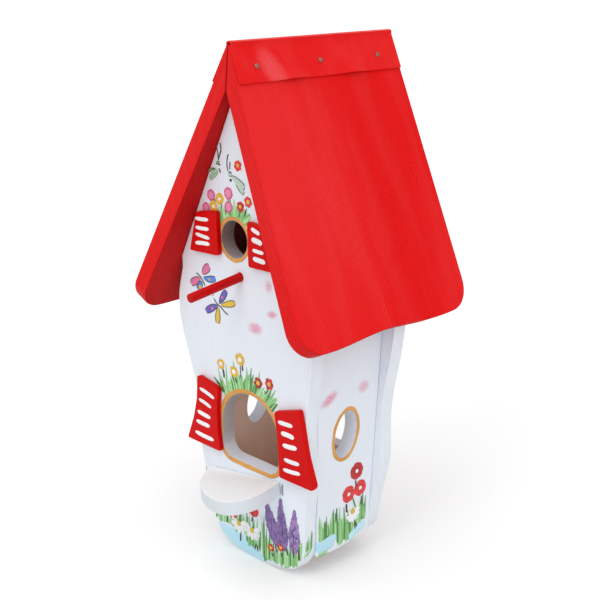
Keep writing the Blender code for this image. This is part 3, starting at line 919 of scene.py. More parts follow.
class Tip(Enum):
    """How a stroke's width changes from its start at 0 to its end at 1."""

    DAB = "dab"
    LINE = "line"
    BLADE = "blade"
    PETAL = "petal"
    BLUNT = "blunt"

    def share(self, t: float) -> float:
        """Width at a place on the stroke, as a share of the widest.

        Args:
            t: Place on the stroke, from 0 to 1.

        Returns:
            The share of the widest.
        """
        if self is Tip.LINE:
            return min(1.0, 3.2 * math.sqrt(max(t * (1 - t), 0.0)))
        if self is Tip.BLADE:
            return min(1.0, 4.0 * t) ** 0.5 * (1 - t) ** 0.58
        if self is Tip.PETAL:
            return 2.6 * t * (1 - t) ** 0.5 if 0 < t < 1 else 0.0
        if self is Tip.BLUNT:
            return min(1.0, 5.0 * t, 5.0 * (1 - t)) ** 0.5 if 0 < t < 1 else 0.0
        return 2.0 * math.sqrt(max(t * (1 - t), 0.0))


class Line:
    """A smooth line through a few points on a face."""

    def __init__(self, points: Sequence[Point]) -> None:
        """Keeps the points that the line passes through."""
        self.points = [Vector(point) for point in points]

    def at(self, t: float) -> Vector:
        """Place at a share of the line from 0 to 1.

        Args:
            t: Share of the line. Below 0 and above 1 it stays at an end.

        Returns:
            The place on the face.
        """
        last = len(self.points) - 1
        spot = min(max(t, 0.0), 1.0) * last
        i = min(int(spot), last - 1)
        s = spot - i
        before, here = self.points[max(i - 1, 0)], self.points[i]
        after, beyond = self.points[i + 1], self.points[min(i + 2, last)]
        return 0.5 * (2 * here + (after - before) * s + (2 * before - 5 * here + 4 * after - beyond) * s * s
                      + (3 * here - before - 3 * after + beyond) * s ** 3)

    def side(self, t: float) -> Vector:
        """Unit direction across the line.

        Args:
            t: Share of the line.

        Returns:
            The direction, to the left of the way the line runs.
        """
        ahead = self.at(t + 0.02) - self.at(t - 0.02)
        ahead = ahead if ahead.length > 1e-9 else Vector((1.0, 0.0))
        ahead.normalize()
        return Vector((-ahead.y, ahead.x))


class Brush:
    """Lays strokes of paint on one face and keeps them in one mesh."""

    def __init__(self, name: str, face: Face | EndFace, seed: int, board: str | None = None,
                 margin: float = 1.0) -> None:
        """Starts an empty picture.

        Args:
            name: The piece's name.
            face: The face that is painted.
            seed: Start of its own run of random numbers.
            board: The board whose edges the paint keeps inside, where it comes near them.
            margin: How far inside the edges it stops.
        """
        self.name = name
        self.face = face
        self.outline = Outline(board, face, margin) if board else None
        self.random = random.Random(seed)
        self.layers: list[bpy.types.Mesh] = []
        self.wet()

    def wet(self) -> None:
        """Starts a fresh layer of strokes."""
        self.work = bmesh.new()
        self.paint = self.work.verts.layers.float_color.new(PAINT_LAYER)

    def dry(self) -> None:
        """Puts the layer in hand with the finished ones."""
        bmesh.ops.recalc_face_normals(self.work, faces=self.work.faces)
        self.layers.append(meshed(self.work, f"{self.name}_layer_{len(self.layers)}"))

    def stroke(self, points: Sequence[Point], width: float, colour: Tint, tip: Tip = Tip.DAB,
               lift: float = 0.0, thick: float = 0.16, rings: int = 6, around: int = 8) -> None:
        """Adds one stroke, a flat closed drop of paint that follows a line.

        Args:
            points: The line's points on the face.
            width: Widest part of the stroke.
            colour: Its colour.
            tip: How its width changes.
            lift: How far it lies above earlier strokes.
            thick: Height of the paint.
            rings: Steps along the stroke.
            around: Steps around it.
        """
        if len(self.work.verts) > LAYER_LIMIT:
            self.dry()
            self.wet()
        line = Line(points)
        made = bmesh.ops.create_uvsphere(self.work, u_segments=around, v_segments=rings, radius=1.0)
        shade = 1.0 + self.random.uniform(-0.07, 0.07)
        for vert in made["verts"]:
            t = 0.5 + vert.co.z / 2
            reach = math.hypot(vert.co.x, vert.co.y)
            cosine, sine = (vert.co.x / reach, vert.co.y / reach) if reach > 1e-6 else (0.0, 0.0)
            half = 0.5 * width * tip.share(t)
            spot = line.at(t) + line.side(t) * (cosine * half)
            fill = min(1.0, half / (0.18 * width))
            height = math.copysign(abs(sine) ** 0.6, sine) * thick * fill
            vert[self.paint] = (*(min(1.0, part * shade) for part in colour[:3]), 1.0)
            a, b = self.outline.inside(spot.x, spot.y) if self.outline else (spot.x, spot.y)
            vert.co = self.face.place(a, b, lift + height)

    def ring(self, outline: Sequence[Point], inner: float, outer: float, colour: Tint, second: Tint,
             thick: float = 0.22, wobble: float = 0.3) -> None:
        """Adds a closed band of paint that follows an outline.

        Args:
            outline: Points of the outline, in order.
            inner: Distance of the band's inner edge outside the outline.
            outer: Distance of its outer edge.
            colour: The band's colour.
            second: Colour of its thinner stretches.
            thick: Height of the paint.
            wobble: How unsteady its outer edge is.
        """
        count, around = len(outline), 10
        made = bmesh.ops.create_grid(self.work, x_segments=count, y_segments=around, size=1.0)
        phase = self.random.uniform(0, 2 * math.pi)
        for vert in made["verts"]:
            step = round((vert.co.x + 1) / 2 * count) % count
            turn = 2 * math.pi * (round((vert.co.y + 1) / 2 * around) % around) / around
            spot = Vector(outline[step])
            ahead = (Vector(outline[(step + 1) % count]) - Vector(outline[step - 1])).normalized()
            away = Vector((ahead.y, -ahead.x))
            angle = 2 * math.pi * step / count
            shake = wobble * (math.sin(5 * angle + phase) * 0.6 + math.sin(11 * angle + 2 * phase) * 0.4)
            middle, half = (inner + outer + shake) / 2, (outer + shake * 1.2 - inner) / 2
            spot = spot + away * (middle + half * math.cos(turn))
            height = math.copysign(abs(math.sin(turn)) ** 0.5, math.sin(turn)) * thick
            share = 0.5 + 0.5 * math.sin(3 * angle + phase)
            vert[self.paint] = blended(colour, second, share * 0.5)
            vert.co = self.face.place(spot.x, spot.y, height)
        bmesh.ops.remove_doubles(self.work, verts=made["verts"], dist=1e-6)

    def outline_stroke(self, points: Sequence[Point], width: float, tip: Tip, ink: Tint = INK,
                       pen: float = 0.7, lift: float = 0.12) -> None:
        """Draws the two edges of a stroke with a thin pen, each with a small break.

        Args:
            points: The stroke's own line.
            width: Its width.
            tip: Its shape.
            ink: Colour of the pen.
            pen: Width of the pen.
            lift: Height above the stroke.
        """
        line = Line(points)
        for side in (-1, 1):
            start = self.random.uniform(0.03, 0.12)
            stop = self.random.uniform(0.93, 1.0)
            edge = []
            for k in range(9):
                t = start + (stop - start) * math.sin(math.pi * k / 16)
                edge.append(tuple(line.at(t) + line.side(t) * (side * 0.5 * width * tip.share(t))))
            self.stroke(edge, pen, ink, Tip.LINE, lift, 0.12, rings=12, around=6)

    def filled(self, points: Sequence[Point], width: float, colour: Tint, tip: Tip = Tip.PETAL,
               ink: Tint = INK, pen: float = 0.7) -> None:
        """Adds a filled shape with a drawn edge."""
        self.stroke(points, width, colour, tip, 0.02, 0.14, rings=12, around=12)
        self.outline_stroke(points, width, tip, ink, pen)

    def dot(self, at: Point, radius: float, colour: Tint, lift: float = 0.14) -> None:
        """Adds a round spot."""
        reach = (at[0] - radius, at[1]), (at[0] + radius, at[1])
        self.stroke(reach, 2 * radius, colour, Tip.DAB, lift, 0.16, rings=8, around=10)

    def flower(self, at: Point, radius: float, petals: int, petal: Tint, heart: Tint,
               heart_share: float = 0.36, second: Tint | None = None, turn: float = 0.0,
               squash: float = 1.0) -> None:
        """Adds a flower of separate petals around a heart.

        Args:
            at: Its middle.
            radius: From the middle to a petal's end.
            petals: How many petals.
            petal: Their colour.
            heart: The heart's colour.
            heart_share: The heart's radius as a share of the flower's.
            second: Colour of every other petal.
            turn: Degrees that the flower is turned.
            squash: Its height as a share of its width.
        """
        for k in range(petals):
            angle = math.radians(turn) + 2 * math.pi * k / petals + self.random.uniform(-0.12, 0.12)
            reach = radius * self.random.uniform(0.9, 1.08)
            end = (at[0] + reach * math.cos(angle), at[1] + reach * squash * math.sin(angle))
            start = (at[0] + reach * 0.12 * math.cos(angle), at[1] + reach * 0.12 * squash * math.sin(angle))
            shade = second if second is not None and k % 2 else petal
            self.stroke((start, end), radius * 4.7 / petals, shade, Tip.PETAL, 0.16, 0.2, rings=7)
        self.dot(at, radius * heart_share, heart, 0.30)

    def rose(self, at: Point, radius: float, dark: Tint = ROSE, pale: Tint = ROSE_PALE) -> None:
        """Adds a full round bloom of curling strokes.

        Args:
            at: Its middle.
            radius: Its size.
            dark: Colour of the outer curls.
            pale: Colour of the middle.
        """
        self.dot(at, radius * 0.85, pale, 0.14)
        for k in range(7):
            angle = 2 * math.pi * k / 7 + self.random.uniform(-0.2, 0.2)
            far = radius * self.random.uniform(0.72, 0.88)
            arc = [(at[0] + far * math.cos(angle + d), at[1] + far * math.sin(angle + d))
                   for d in (-0.6, 0, 0.6)]
            self.stroke(arc, radius * 0.42, dark, Tip.DAB, 0.2, 0.2)
        for k in range(3):
            angle = 2.1 * k + self.random.uniform(-0.3, 0.3)
            near = radius * 0.32
            arc = [(at[0] + near * math.cos(angle + d), at[1] + near * math.sin(angle + d))
                   for d in (-0.8, 0, 0.8)]
            self.stroke(arc, radius * 0.2, blended(dark, pale, 0.4), Tip.DAB, 0.26, 0.16)

    def finish(self, finish: bpy.types.Material, body: str = HOUSE) -> bpy.types.Object:
        """Turns the strokes into one piece.

        Args:
            finish: The paint's material.
            body: The body it moves with.

        Returns:
            The piece.
        """
        self.dry()
        whole = bmesh.new()
        for layer in self.layers:
            whole.from_mesh(layer)
            bpy.data.meshes.remove(layer)
        in_order(whole)
        for face in whole.faces:
            face.smooth = True
        made = shown(self.name, meshed(whole, self.name))
        made.data.materials.append(finish)
        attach(made, body)
        return made


def oval(at: Point, half_width: float, half_height: float, tilt: float = 0.0, count: int = 72) -> list[Point]:
    """Outline of an ellipse, anticlockwise.

    Args:
        at: Its middle.
        half_width: Half its width before it is tilted.
        half_height: Half its height.
        tilt: Degrees by which its top leans to the positive side.
        count: Number of points.

    Returns:
        The points.
    """
    lean = math.radians(tilt)
    points = []
    for k in range(count):
        angle = 2 * math.pi * k / count
        u, v = half_width * math.cos(angle), half_height * math.sin(angle)
        points.append((at[0] + u * math.cos(lean) + v * math.sin(lean),
                       at[1] - u * math.sin(lean) + v * math.cos(lean)))
    return points


# ------------------------------------------------------------------ the house
@dataclass(frozen=True)
class Layout:
    """Places on the house that several pieces share, from its origin under the feeder floor."""

    hole: Point = (-21.4, 235.3)
    hole_radius: float = 15.2
    arch_middle: float = -6.2
    arch_sill: float = 47.4
    arch_width: float = 67.5
    arch_height: float = 61.8
    arch_foot: float = 12.0
    arch_spring: float = 30.0
    window: Point = (1.12, 81.0)
    window_half: Point = (12.4, 19.8)
    window_tilt: float = 13.0
    back_lean: float = 4.4
    inner_half: float = 44.8      # from the middle to a side board's inner face
    board: float = 13.4
    back_from: float = 44.1855    # to the back board's outer face, along the way it faces
    roof_slope: float = 63.9
    roof_thick: float = 15.2
    ridge: Point = (-18.2, 386.4)
    ridge_ends: Point = (-49.9, 131.2)

    def front(self) -> Face:
        """The front board's outer face."""
        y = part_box("front_board")[0].y
        return Face(Vector((0, y, 0)), Vector(SIDEWAYS), Vector(UPRIGHT), Vector((0, -1, 0)))

    def side(self, right: bool) -> Face:
        """The outer face of a side board, measured from front to back.

        Args:
            right: True for the right side board.

        Returns:
            The face.
        """
        low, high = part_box("side_board_right" if right else "side_board_left")
        x = high.x if right else low.x
        return Face(Vector((x, 0, 0)), Vector(ENDWAYS), Vector(UPRIGHT), Vector((1 if right else -1, 0, 0)))

    def back(self) -> Face:
        """The back board's outer face, which leans back.

        Returns:
            The face.
        """
        lean = math.radians(self.back_lean)
        out = Vector((0, math.cos(lean), -math.sin(lean)))
        up = Vector((0, math.sin(lean), math.cos(lean)))
        return Face(out * (self.back_from * MM), Vector(SIDEWAYS), up, out)

    def arch(self, count: int = 24) -> list[Point]:
        """Outline of the arched opening, anticlockwise from its right side.

        Args:
            count: Steps along the round top.

        Returns:
            The outline's points.
        """
        half = self.arch_width / 2
        spring = self.arch_sill + self.arch_spring
        rise = self.arch_height - self.arch_spring
        upright = [(self.arch_middle + half, self.arch_sill + self.arch_foot + k * 3.6) for k in range(1, 5)]
        points = upright + [(self.arch_middle + half * math.cos(math.pi * k / count),
                             spring + rise * math.sin(math.pi * k / count)) for k in range(count + 1)]
        points += [(2 * self.arch_middle - x, z) for x, z in reversed(upright)]
        for side, first in ((-1, 180.0), (1, 270.0)):
            middle = self.arch_middle + side * (half - self.arch_foot)
            for k in range(7):
                angle = math.radians(first + 15.0 * k)
                points.append((middle + self.arch_foot * math.cos(angle),
                               self.arch_sill + self.arch_foot + self.arch_foot * math.sin(angle)))
            if side < 0:
                points += [(middle + (2 * (half - self.arch_foot)) * k / 10, self.arch_sill)
                           for k in range(1, 10)]
        return points


LAYOUT = Layout()

# Start, end and width of each dash on each shutter.
SLATS: dict[str, tuple[tuple[Point, Point, float], ...]] = {
    "upper_left": (((-62.8, 246.6), (-46.6, 247.8), 3.3), ((-62.6, 239.3), (-46.2, 240.2), 3.3),
                   ((-63.0, 233.9), (-45.6, 232.6), 3.2), ((-63.4, 226.2), (-45.4, 228.0), 3.5)),
    "upper_right": (((3.8, 249.2), (13.4, 246.4), 3.6), ((4.2, 240.8), (16.0, 239.2), 4.6),
                    ((5.0, 232.6), (17.6, 232.2), 3.2), ((5.4, 226.0), (19.4, 225.2), 4.2)),
    "lower_left": (((-62.8, 100.8), (-44.2, 96.6), 3.6), ((-64.2, 90.6), (-48.4, 87.2), 3.4),
                   ((-66.4, 79.2), (-49.6, 77.6), 4.0), ((-68.2, 70.0), (-50.8, 69.6), 4.0),
                   ((-70.0, 59.4), (-46.0, 58.6), 4.0)),
    "lower_right": (((32.2, 98.8), (48.6, 99.8), 3.8), ((35.6, 90.4), (50.2, 90.4), 4.4),
                    ((37.4, 80.8), (53.2, 82.6), 4.2), ((38.8, 69.0), (56.0, 70.0), 3.8),
                    ((37.8, 60.0), (57.0, 62.2), 3.6))}


@dataclass
class Walls:
    """The four wavy boards, painted outside and bare inside."""

    ease: float = 0.5
    front_washes: tuple[WashAndLightPatch, ...] = (
        WashAndLightPatch((2.0, 167.5), (6.6, 4.0), BLUSH, turn=8, soft=1.3, speckle=0.8),
        WashAndLightPatch((21.0, 183.0), (4.6, 2.6), BLUSH, turn=10, soft=1.3, speckle=0.6),
        WashAndLightPatch((17.5, 205.0), (3.2, 4.0), BLUSH, soft=1.3, speckle=0.8, strength=0.8),
        WashAndLightPatch((-20.0, -29.0), (31.0, 9.0), WATER, turn=-10, soft=0.12),
        WashAndLightPatch((40.0, -40.0), (16.0, 6.0), WATER, turn=8, soft=0.2, strength=0.5))
    # painted shade in the walls of the entry hole and the arch
    front_bore_shades: tuple[WashAndLightPatch, ...] = (
        WashAndLightPatch(LAYOUT.hole, (17.0, 17.0), tint(178, 166, 164), soft=0.1, strength=0.8),
        WashAndLightPatch((-32.0, 244.0), (20.0, 22.0), tint(140, 112, 106), soft=0.9, strength=0.8),
        WashAndLightPatch((-38.0, 92.0), (30.0, 38.0), tint(160, 142, 138), soft=0.9, strength=0.75))
    side_washes: tuple[WashAndLightPatch, ...] = (
        WashAndLightPatch((-18.0, 116.0), (8.4, 3.6), BLUSH, turn=24, soft=1.2, speckle=0.7),
        WashAndLightPatch((21.5, 116.5), (5.6, 4.2), BLUSH, soft=1.2, speckle=1.0, strength=0.75),
        WashAndLightPatch((-26.0, -9.0), (8.0, 5.0), WATER, turn=-8, soft=0.12))

    def finish(self, name: str) -> bpy.types.Material:
        """The paint of one board.

        Args:
            name: The board's node.

        Returns:
            The material.
        """
        front_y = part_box("front_board")[0].y / MM
        lean = math.radians(LAYOUT.back_lean)
        common = {**WHITE_COAT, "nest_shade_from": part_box("nest_floor")[1].z / MM}
        if name == "front_board":
            grain = Grain(UPRIGHT, SIDEWAYS, spacing=3.4, offset=11.0)
            return PaintedWood("front_paint", grain, bare_side=(0.0, -1.0, 0.0),
                               bare_from=-(front_y + LAYOUT.board) + 0.6, bare_within=LAYOUT.inner_half,
                               washes_and_light=self.front_washes, bore_shades=self.front_bore_shades, **common).build()
        if name == "back_board":
            grain = Grain(UPRIGHT, SIDEWAYS, spacing=3.8, offset=71.0)
            return PaintedWood("back_paint", grain, bare_side=(0.0, math.cos(lean), -math.sin(lean)),
                               bare_from=LAYOUT.back_from - LAYOUT.board + 0.5,
                               bare_within=LAYOUT.inner_half, **common).build()
        grain = Grain(UPRIGHT, ENDWAYS, spacing=3.1, offset=29.0 if name.endswith("right") else 53.0)
        return PaintedWood(name + "_paint", grain, bare_side=SIDEWAYS, bare_from=LAYOUT.inner_half + 0.5,
                           washes_and_light=self.side_washes, wash_axes=(ENDWAYS, UPRIGHT), **common).build()

    def build(self) -> None:
        """Makes and dresses the boards."""
        for name in ("front_board", "back_board", "side_board_left", "side_board_right"):
            Part(name, "white_paint", ease=self.ease).make(self.finish(name))


@dataclass
class Floors:
    """Two bare boards held between the walls."""

    ease: float = 0.4

    def build(self) -> None:
        """Makes and dresses both floors."""
        for name, offset in (("nest_floor", 3.0), ("feeder_floor", 37.0)):
            grain = Grain(SIDEWAYS, ENDWAYS, spacing=4.2, wander=3.0, offset=offset)
            Part(name, "bare_wood", ease=self.ease).make(BareWood(name + "_wood", grain).build())


@dataclass
class Roof:
    """Two red boards, the folded cap over the ridge and its nails."""

    rib: float = 2.3         # spacing of the growth lines on the roof
    joint: float = 0.34      # width of the joint at the ridge
    inset: float = 0.6       # from the joint's foot and top to the paint in it
    joint_ease: float = 0.06

    def board_paint(self, side: int) -> bpy.types.Material:
        """The paint of one roof board.

        Args:
            side: 1 for the right board, -1 for the left.

        Returns:
            The material.
        """
        slope = math.radians(LAYOUT.roof_slope)
        down = (side * math.cos(slope), 0.0, -math.sin(slope))
        grain = Grain(down, ENDWAYS, spacing=self.rib, wander=9.0, offset=19.0 + 40.0 * side)
        ridge = side * math.cos(slope) * LAYOUT.ridge[0] - math.sin(slope) * LAYOUT.ridge[1]
        # painted highlight: a broad lighter patch towards the front of each board
        roof_painted_highlight = WashAndLightPatch((-42.0, ridge + 95.0), (62.0, 130.0), ROOF_BRIGHT, soft=1.6, strength=0.36)
        # painted shade: a broad darker patch towards the back of each board
        deep = WashAndLightPatch((75.0, ridge + 120.0), (40.0, 150.0), ROOF_PAINTED_SHADE, soft=1.4, strength=0.3)
        inward = (-side * math.sin(slope), 0.0, -math.cos(slope))
        # painted shade on the front and back ends, the undersides and the downward edges
        shades = (Shade(ENDWAYS, 0.35, 0.8, ROOF_END_SHADE, 0.35),
                  Shade(inward, 0.4, 0.9, ROOF_UNDER_SHADE, 0.65, both=False),
                  Shade(down, 0.5, 0.9, ROOF_EAVE_SHADE, 0.5, both=False))
        return PaintedWood("roof_paint_right" if side > 0 else "roof_paint_left", grain, ROOF_RED,
                           ROOF_VALLEY, ROOF_BRIGHT, relief=0.17, rough=0.52, valley_share=0.5,
                           bright_share=0.5, gloss=0.1, washes_and_light=(deep, roof_painted_highlight), wash_axes=(ENDWAYS, down),
                           shades=shades).build()

    def filler(self) -> None:
        """Fills the joint between the two boards under the cap, as thick paint does."""
        work = bmesh.new()
        bmesh.ops.create_cube(work, size=1.0)
        foot = LAYOUT.ridge[1] - LAYOUT.roof_thick / math.cos(math.radians(LAYOUT.roof_slope)) + self.inset
        top = LAYOUT.ridge[1] - self.inset
        front, back = LAYOUT.ridge_ends
        size = Vector((self.joint, back - front, top - foot)) * MM
        bmesh.ops.scale(work, verts=work.verts, vec=size)
        middle = Vector((LAYOUT.ridge[0], (front + back) / 2, (foot + top) / 2)) * MM
        bmesh.ops.translate(work, verts=work.verts, vec=middle)
        bmesh.ops.bevel(work, geom=work.edges[:], offset=self.joint_ease * MM, offset_type="OFFSET",
                        segments=1, profile=0.5, affect="EDGES", clamp_overlap=True, material=-1)
        bmesh.ops.recalc_face_normals(work, faces=work.faces)
        made = shown("ridge_joint_paint", meshed(work, "ridge_joint_paint"))
        made.data.materials.append(BrushPaint("joint_paint", fixed=ROOF_RED).build())
        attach(made, HOUSE)

    def build(self) -> None:
        """Makes and dresses the roof."""
        for side, name in ((1, "roof_board_right"), (-1, "roof_board_left")):
            Part(name, "red_roof_paint").make(self.board_paint(side))
        self.filler()
        Part("ridge_cap", "red_cap", crease=60.0).make(CapSheet("cap_sheet").build())
        steel = Metal("nail_metal", tint(150, 110, 104), tint(96, 58, 52)).build()
        for side in ("left", "right"):
            for number in (1, 2, 3):
                Part(f"cap_nail_{side}_{number}", "nail_steel").make(steel)


@dataclass
class FrontFittings:
    """Perch, tray and shutters on the front board."""

    droop: float = 7.5       # degrees by which the perch hangs

    def build(self) -> None:
        """Makes and dresses the fittings."""
        droop = math.radians(self.droop)
        along = (0.0, -math.cos(droop), -math.sin(droop))
        dowel = PaintedWood("perch_paint", Grain(along, SIDEWAYS, spacing=1.6, wander=2.0), PERCH_RED,
                            PERCH_VALLEY, PERCH_BRIGHT, relief=0.08, rough=0.5, gloss=0.12).build()
        Part("perch", "red_dowel_paint").make(dowel)
        shelf = PaintedWood("tray_paint", Grain(SIDEWAYS, ENDWAYS, spacing=4.4, wander=3.0, offset=7.0),
                            TRAY_WHITE, TRAY_VALLEY, SNOW, relief=0.05, rough=0.5,
                            valley_share=0.25, line_share=0.3,
                            # painted shade on the tray's upright sides
                            shades=(Shade(UPRIGHT, 0.85, 0.45, TRAY_SHADE, 0.45),)).build()
        Part("tray", "white_tray_paint").make(shelf)
        for k, name in enumerate(SLATS):
            grain = Grain(UPRIGHT, SIDEWAYS, spacing=2.6, wander=3.0, offset=13.0 * k)
            paint = PaintedWood(f"shutter_paint_{name}", grain, SHUTTER_RED, SHUTTER_VALLEY, SHUTTER_BRIGHT,
                                relief=0.05, rough=0.45, valley_share=0.35, bright_share=0.15,
                                gloss=0.1).build()
            Part(f"shutter_{name}", "red_shutter_paint").make(paint)


@dataclass
class CleanOut:
    """Round cover on the back and the screw that it turns on."""

    def build(self) -> None:
        """Makes and dresses the cover and its screw."""
        grain = Grain(UPRIGHT, SIDEWAYS, spacing=3.0, offset=5.0)
        paint = PaintedWood("cover_paint", grain, **WHITE_COAT).build()
        Part("clean_out_cover", "white_cover_paint", body=COVER).make(paint)
        steel = Metal("screw_metal", tint(176, 176, 178), tint(140, 138, 132)).build()
        Part("cover_screw", "screw_steel").make(steel)


# ------------------------------------------------------------------ pictures
@dataclass
class Rims:
    """Gold bands painted around the openings."""

    clear: float = 0.1       # left between the band and the bore
    narrow: float = 3.2      # width around the entry hole and the windows
    wide: float = 4.1        # width around the arches

    def build(self, paint: bpy.types.Material) -> None:
        """Paints every band.

        Args:
            paint: The bands' material.
        """
        hole = oval(LAYOUT.hole, LAYOUT.hole_radius, LAYOUT.hole_radius)
        window = oval(LAYOUT.window, *LAYOUT.window_half, LAYOUT.window_tilt)
        places = (("painted_rim_entry", LAYOUT.front(), hole, self.narrow),
                  ("painted_rim_arch", LAYOUT.front(), LAYOUT.arch(), self.wide),
                  ("painted_rim_back_arch", LAYOUT.back(), LAYOUT.arch(), self.wide),
                  ("painted_rim_window_right", LAYOUT.side(True), window, self.narrow),
                  ("painted_rim_window_left", LAYOUT.side(False), window, self.narrow))
        for number, (name, face, outline, width) in enumerate(places):
            brush = Brush(name, face, 40 + number)
            brush.ring(outline, self.clear, self.clear + width, GOLD, OCHRE, thick=0.36)
            brush.finish(paint)


@dataclass
class ShutterSlats:
    """White dashes painted across the shutters."""

    def build(self, paint: bpy.types.Material) -> None:
        """Paints the dashes on the four shutters.

        Args:
            paint: The dashes' material.
        """
        for number, (name, dashes) in enumerate(SLATS.items()):
            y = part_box(f"shutter_{name}")[0].y
            face = Face(Vector((0, y, 0)), Vector(SIDEWAYS), Vector(UPRIGHT), Vector((0, -1, 0)))
            brush = Brush(f"painted_slats_{name}", face, 60 + number)
            for start, end, width in dashes:
                bow = brush.random.uniform(-0.5, 0.5)
                middle = ((start[0] + end[0]) / 2, (start[1] + end[1]) / 2 + bow)
                brush.stroke((start, middle, end), width, SNOW, Tip.BLUNT, 0.0, 0.24, rings=12, around=10)
            brush.finish(paint)


@dataclass
class GardenPictures:
    """Birds, butterflies, flowers and grass painted on the boards."""

    paint: bpy.types.Material

    def birds(self) -> None:
        """Two light green birds with ink tails and a red flower, high on the gable."""
        brush = Brush("painted_birds", LAYOUT.front(), 1)
        for points, width, ink in (
                (((-40.8, 308.4), (-39.6, 304), (-38.6, 300.5), (-38.4, 296)), 1.4, SOFT_INK),
                (((-36.3, 309.8), (-35.2, 307.8), (-35.2, 303.0), (-37.2, 299.6), (-38.1, 295.8)), 1.5, INK),
                (((-41.4, 292.8), (-39.6, 293.0), (-36.0, 292.2)), 1.2, INK),
                (((-37.8, 289.6), (-37.2, 288.0), (-35.8, 286.4)), 1.5, INK),
                (((-26.0, 301.9), (-27.2, 300.6), (-28.2, 296), (-28.2, 292), (-27.2, 288.8)), 1.3, INK),
                (((-24.5, 296.4), (-25.0, 293), (-25.1, 290.4)), 1.6, SOFT_INK),
                (((-27.0, 288.6), (-23.2, 288.4)), 0.7, SOFT_INK)):
            brush.stroke(points, width, ink, Tip.LINE, 0.1, 0.14, rings=10, around=6)
        brush.filled(((-40.9, 293.6), (-36.9, 294.4)), 2.2, LEAF, Tip.DAB, INK, 0.6)
        brush.stroke(((-41.6, 287.6), (-45.6, 288.2), (-50.6, 285.0)), 3.2, MINT, Tip.DAB, 0.0, rings=8)
        brush.stroke(((-42.0, 288.6), (-46.0, 288.0), (-50.4, 284.8)), 1.9, LEAF_DARK, Tip.DAB, 0.08, rings=8)
        brush.filled(((-39.2, 288.4), (-43.4, 284.4), (-49.2, 279.6)), 4.6, MINT, Tip.DAB, SOFT_INK, 0.5)
        brush.stroke(((-39.8, 287.0), (-43.4, 284.0), (-48.6, 279.8)), 2.2, LEAF, Tip.DAB, 0.10, rings=8)
        brush.filled(((-27.0, 286.2), (-22.9, 286.6)), 2.9, MINT, Tip.DAB, INK, 0.6)
        brush.stroke(((-26.0, 281.6), (-23.0, 282.4)), 2.6, INK, Tip.PETAL, 0.1, rings=6)
        brush.stroke(((-23.4, 284.6), (-16.6, 282.0), (-9.2, 279.6)), 5.0, MINT, Tip.PETAL, 0.0, rings=12,
                     around=10)
        brush.stroke(((-21.4, 283.6), (-15.2, 279.6), (-9.8, 273.4)), 5.2, MINT, Tip.PETAL, 0.03, rings=12,
                     around=10)
        for points in (((-23.4, 285.6), (-19.4, 285.6), (-14.4, 283.8), (-9.4, 281.2), (-8.0, 279.4)),
                       ((-8.2, 279.0), (-8.8, 277.2), (-9.6, 276.2)),
                       ((-9.0, 275.2), (-9.4, 273.4), (-11.2, 272.6)),
                       ((-11.8, 273.2), (-15.2, 276.0), (-18.2, 279.4))):
            brush.stroke(points, 0.95, SOFT_INK, Tip.LINE, 0.14, 0.14, rings=9, around=6)
        brush.flower((-15.7, 294.6), 4.4, 6, SCARLET, SUN, 0.36, turn=80)
        brush.finish(self.paint)

    def butterfly(self, brush: Brush, wings: Sequence[tuple], body: Sequence[Point],
                  spots: Sequence[tuple[Point, float, Tint]]) -> None:
        """Adds one butterfly.

        Args:
            brush: The picture it belongs to.
            wings: Line, width and colour of each wing.
            body: The body's line.
            spots: Middle, radius and colour of each spot.
        """
        for points, width, colour in wings:
            brush.filled(points, width, colour, Tip.PETAL, INK, 0.75)
        brush.stroke(body, 1.1, INK, Tip.LINE, 0.2, 0.18, rings=12, around=6)
        for at, radius, colour in spots:
            brush.dot(at, radius, colour, 0.16)

    def butterflies(self) -> None:
        """A pink and blue butterfly and a violet and yellow one."""
        brush = Brush("painted_butterflies", LAYOUT.front(), 2)
        self.butterfly(brush, ((((-61.6, 199.2), (-57.6, 203.4), (-52.2, 208.0)), 7.2, PINK),
                               (((-60.4, 196.8), (-53.0, 196.6), (-44.6, 198.6)), 5.4, SKY),
                               (((-63.6, 195.4), (-69.0, 192.6), (-76.2, 188.4)), 6.6, PINK),
                               (((-62.0, 193.4), (-64.2, 189.4), (-67.2, 184.6)), 6.0, SKY)),
                       ((-69.2, 199.0), (-65.4, 197.6), (-61.6, 194.8), (-58.0, 189.8)),
                       (((-52.4, 196.6), 1.2, SUN), ((-64.2, 187.8), 1.9, SUN)))
        self.butterfly(brush, ((((-41.0, 178.4), (-37.2, 184.0), (-31.8, 191.2)), 5.6, VIOLET),
                               (((-39.4, 177.4), (-30.6, 180.2), (-21.4, 183.2)), 5.2, SUN),
                               (((-42.2, 176.6), (-49.0, 173.6), (-58.0, 168.4)), 6.0, VIOLET),
                               (((-42.0, 175.6), (-42.8, 169.0), (-43.6, 161.0)), 5.8, SUN)),
                       ((-47.6, 182.0), (-44.0, 178.2), (-38.8, 176.0), (-34.0, 172.8), (-30.0, 171.6)),
                       (((-37.0, 184.6), 1.4, PINK), ((-49.6, 172.6), 1.5, PINK)))
        for at in ((-47.8, 184.6), (-49.6, 183.4)):
            brush.dot(at, 0.5, SOFT_INK, 0.05)
        brush.finish(self.paint)

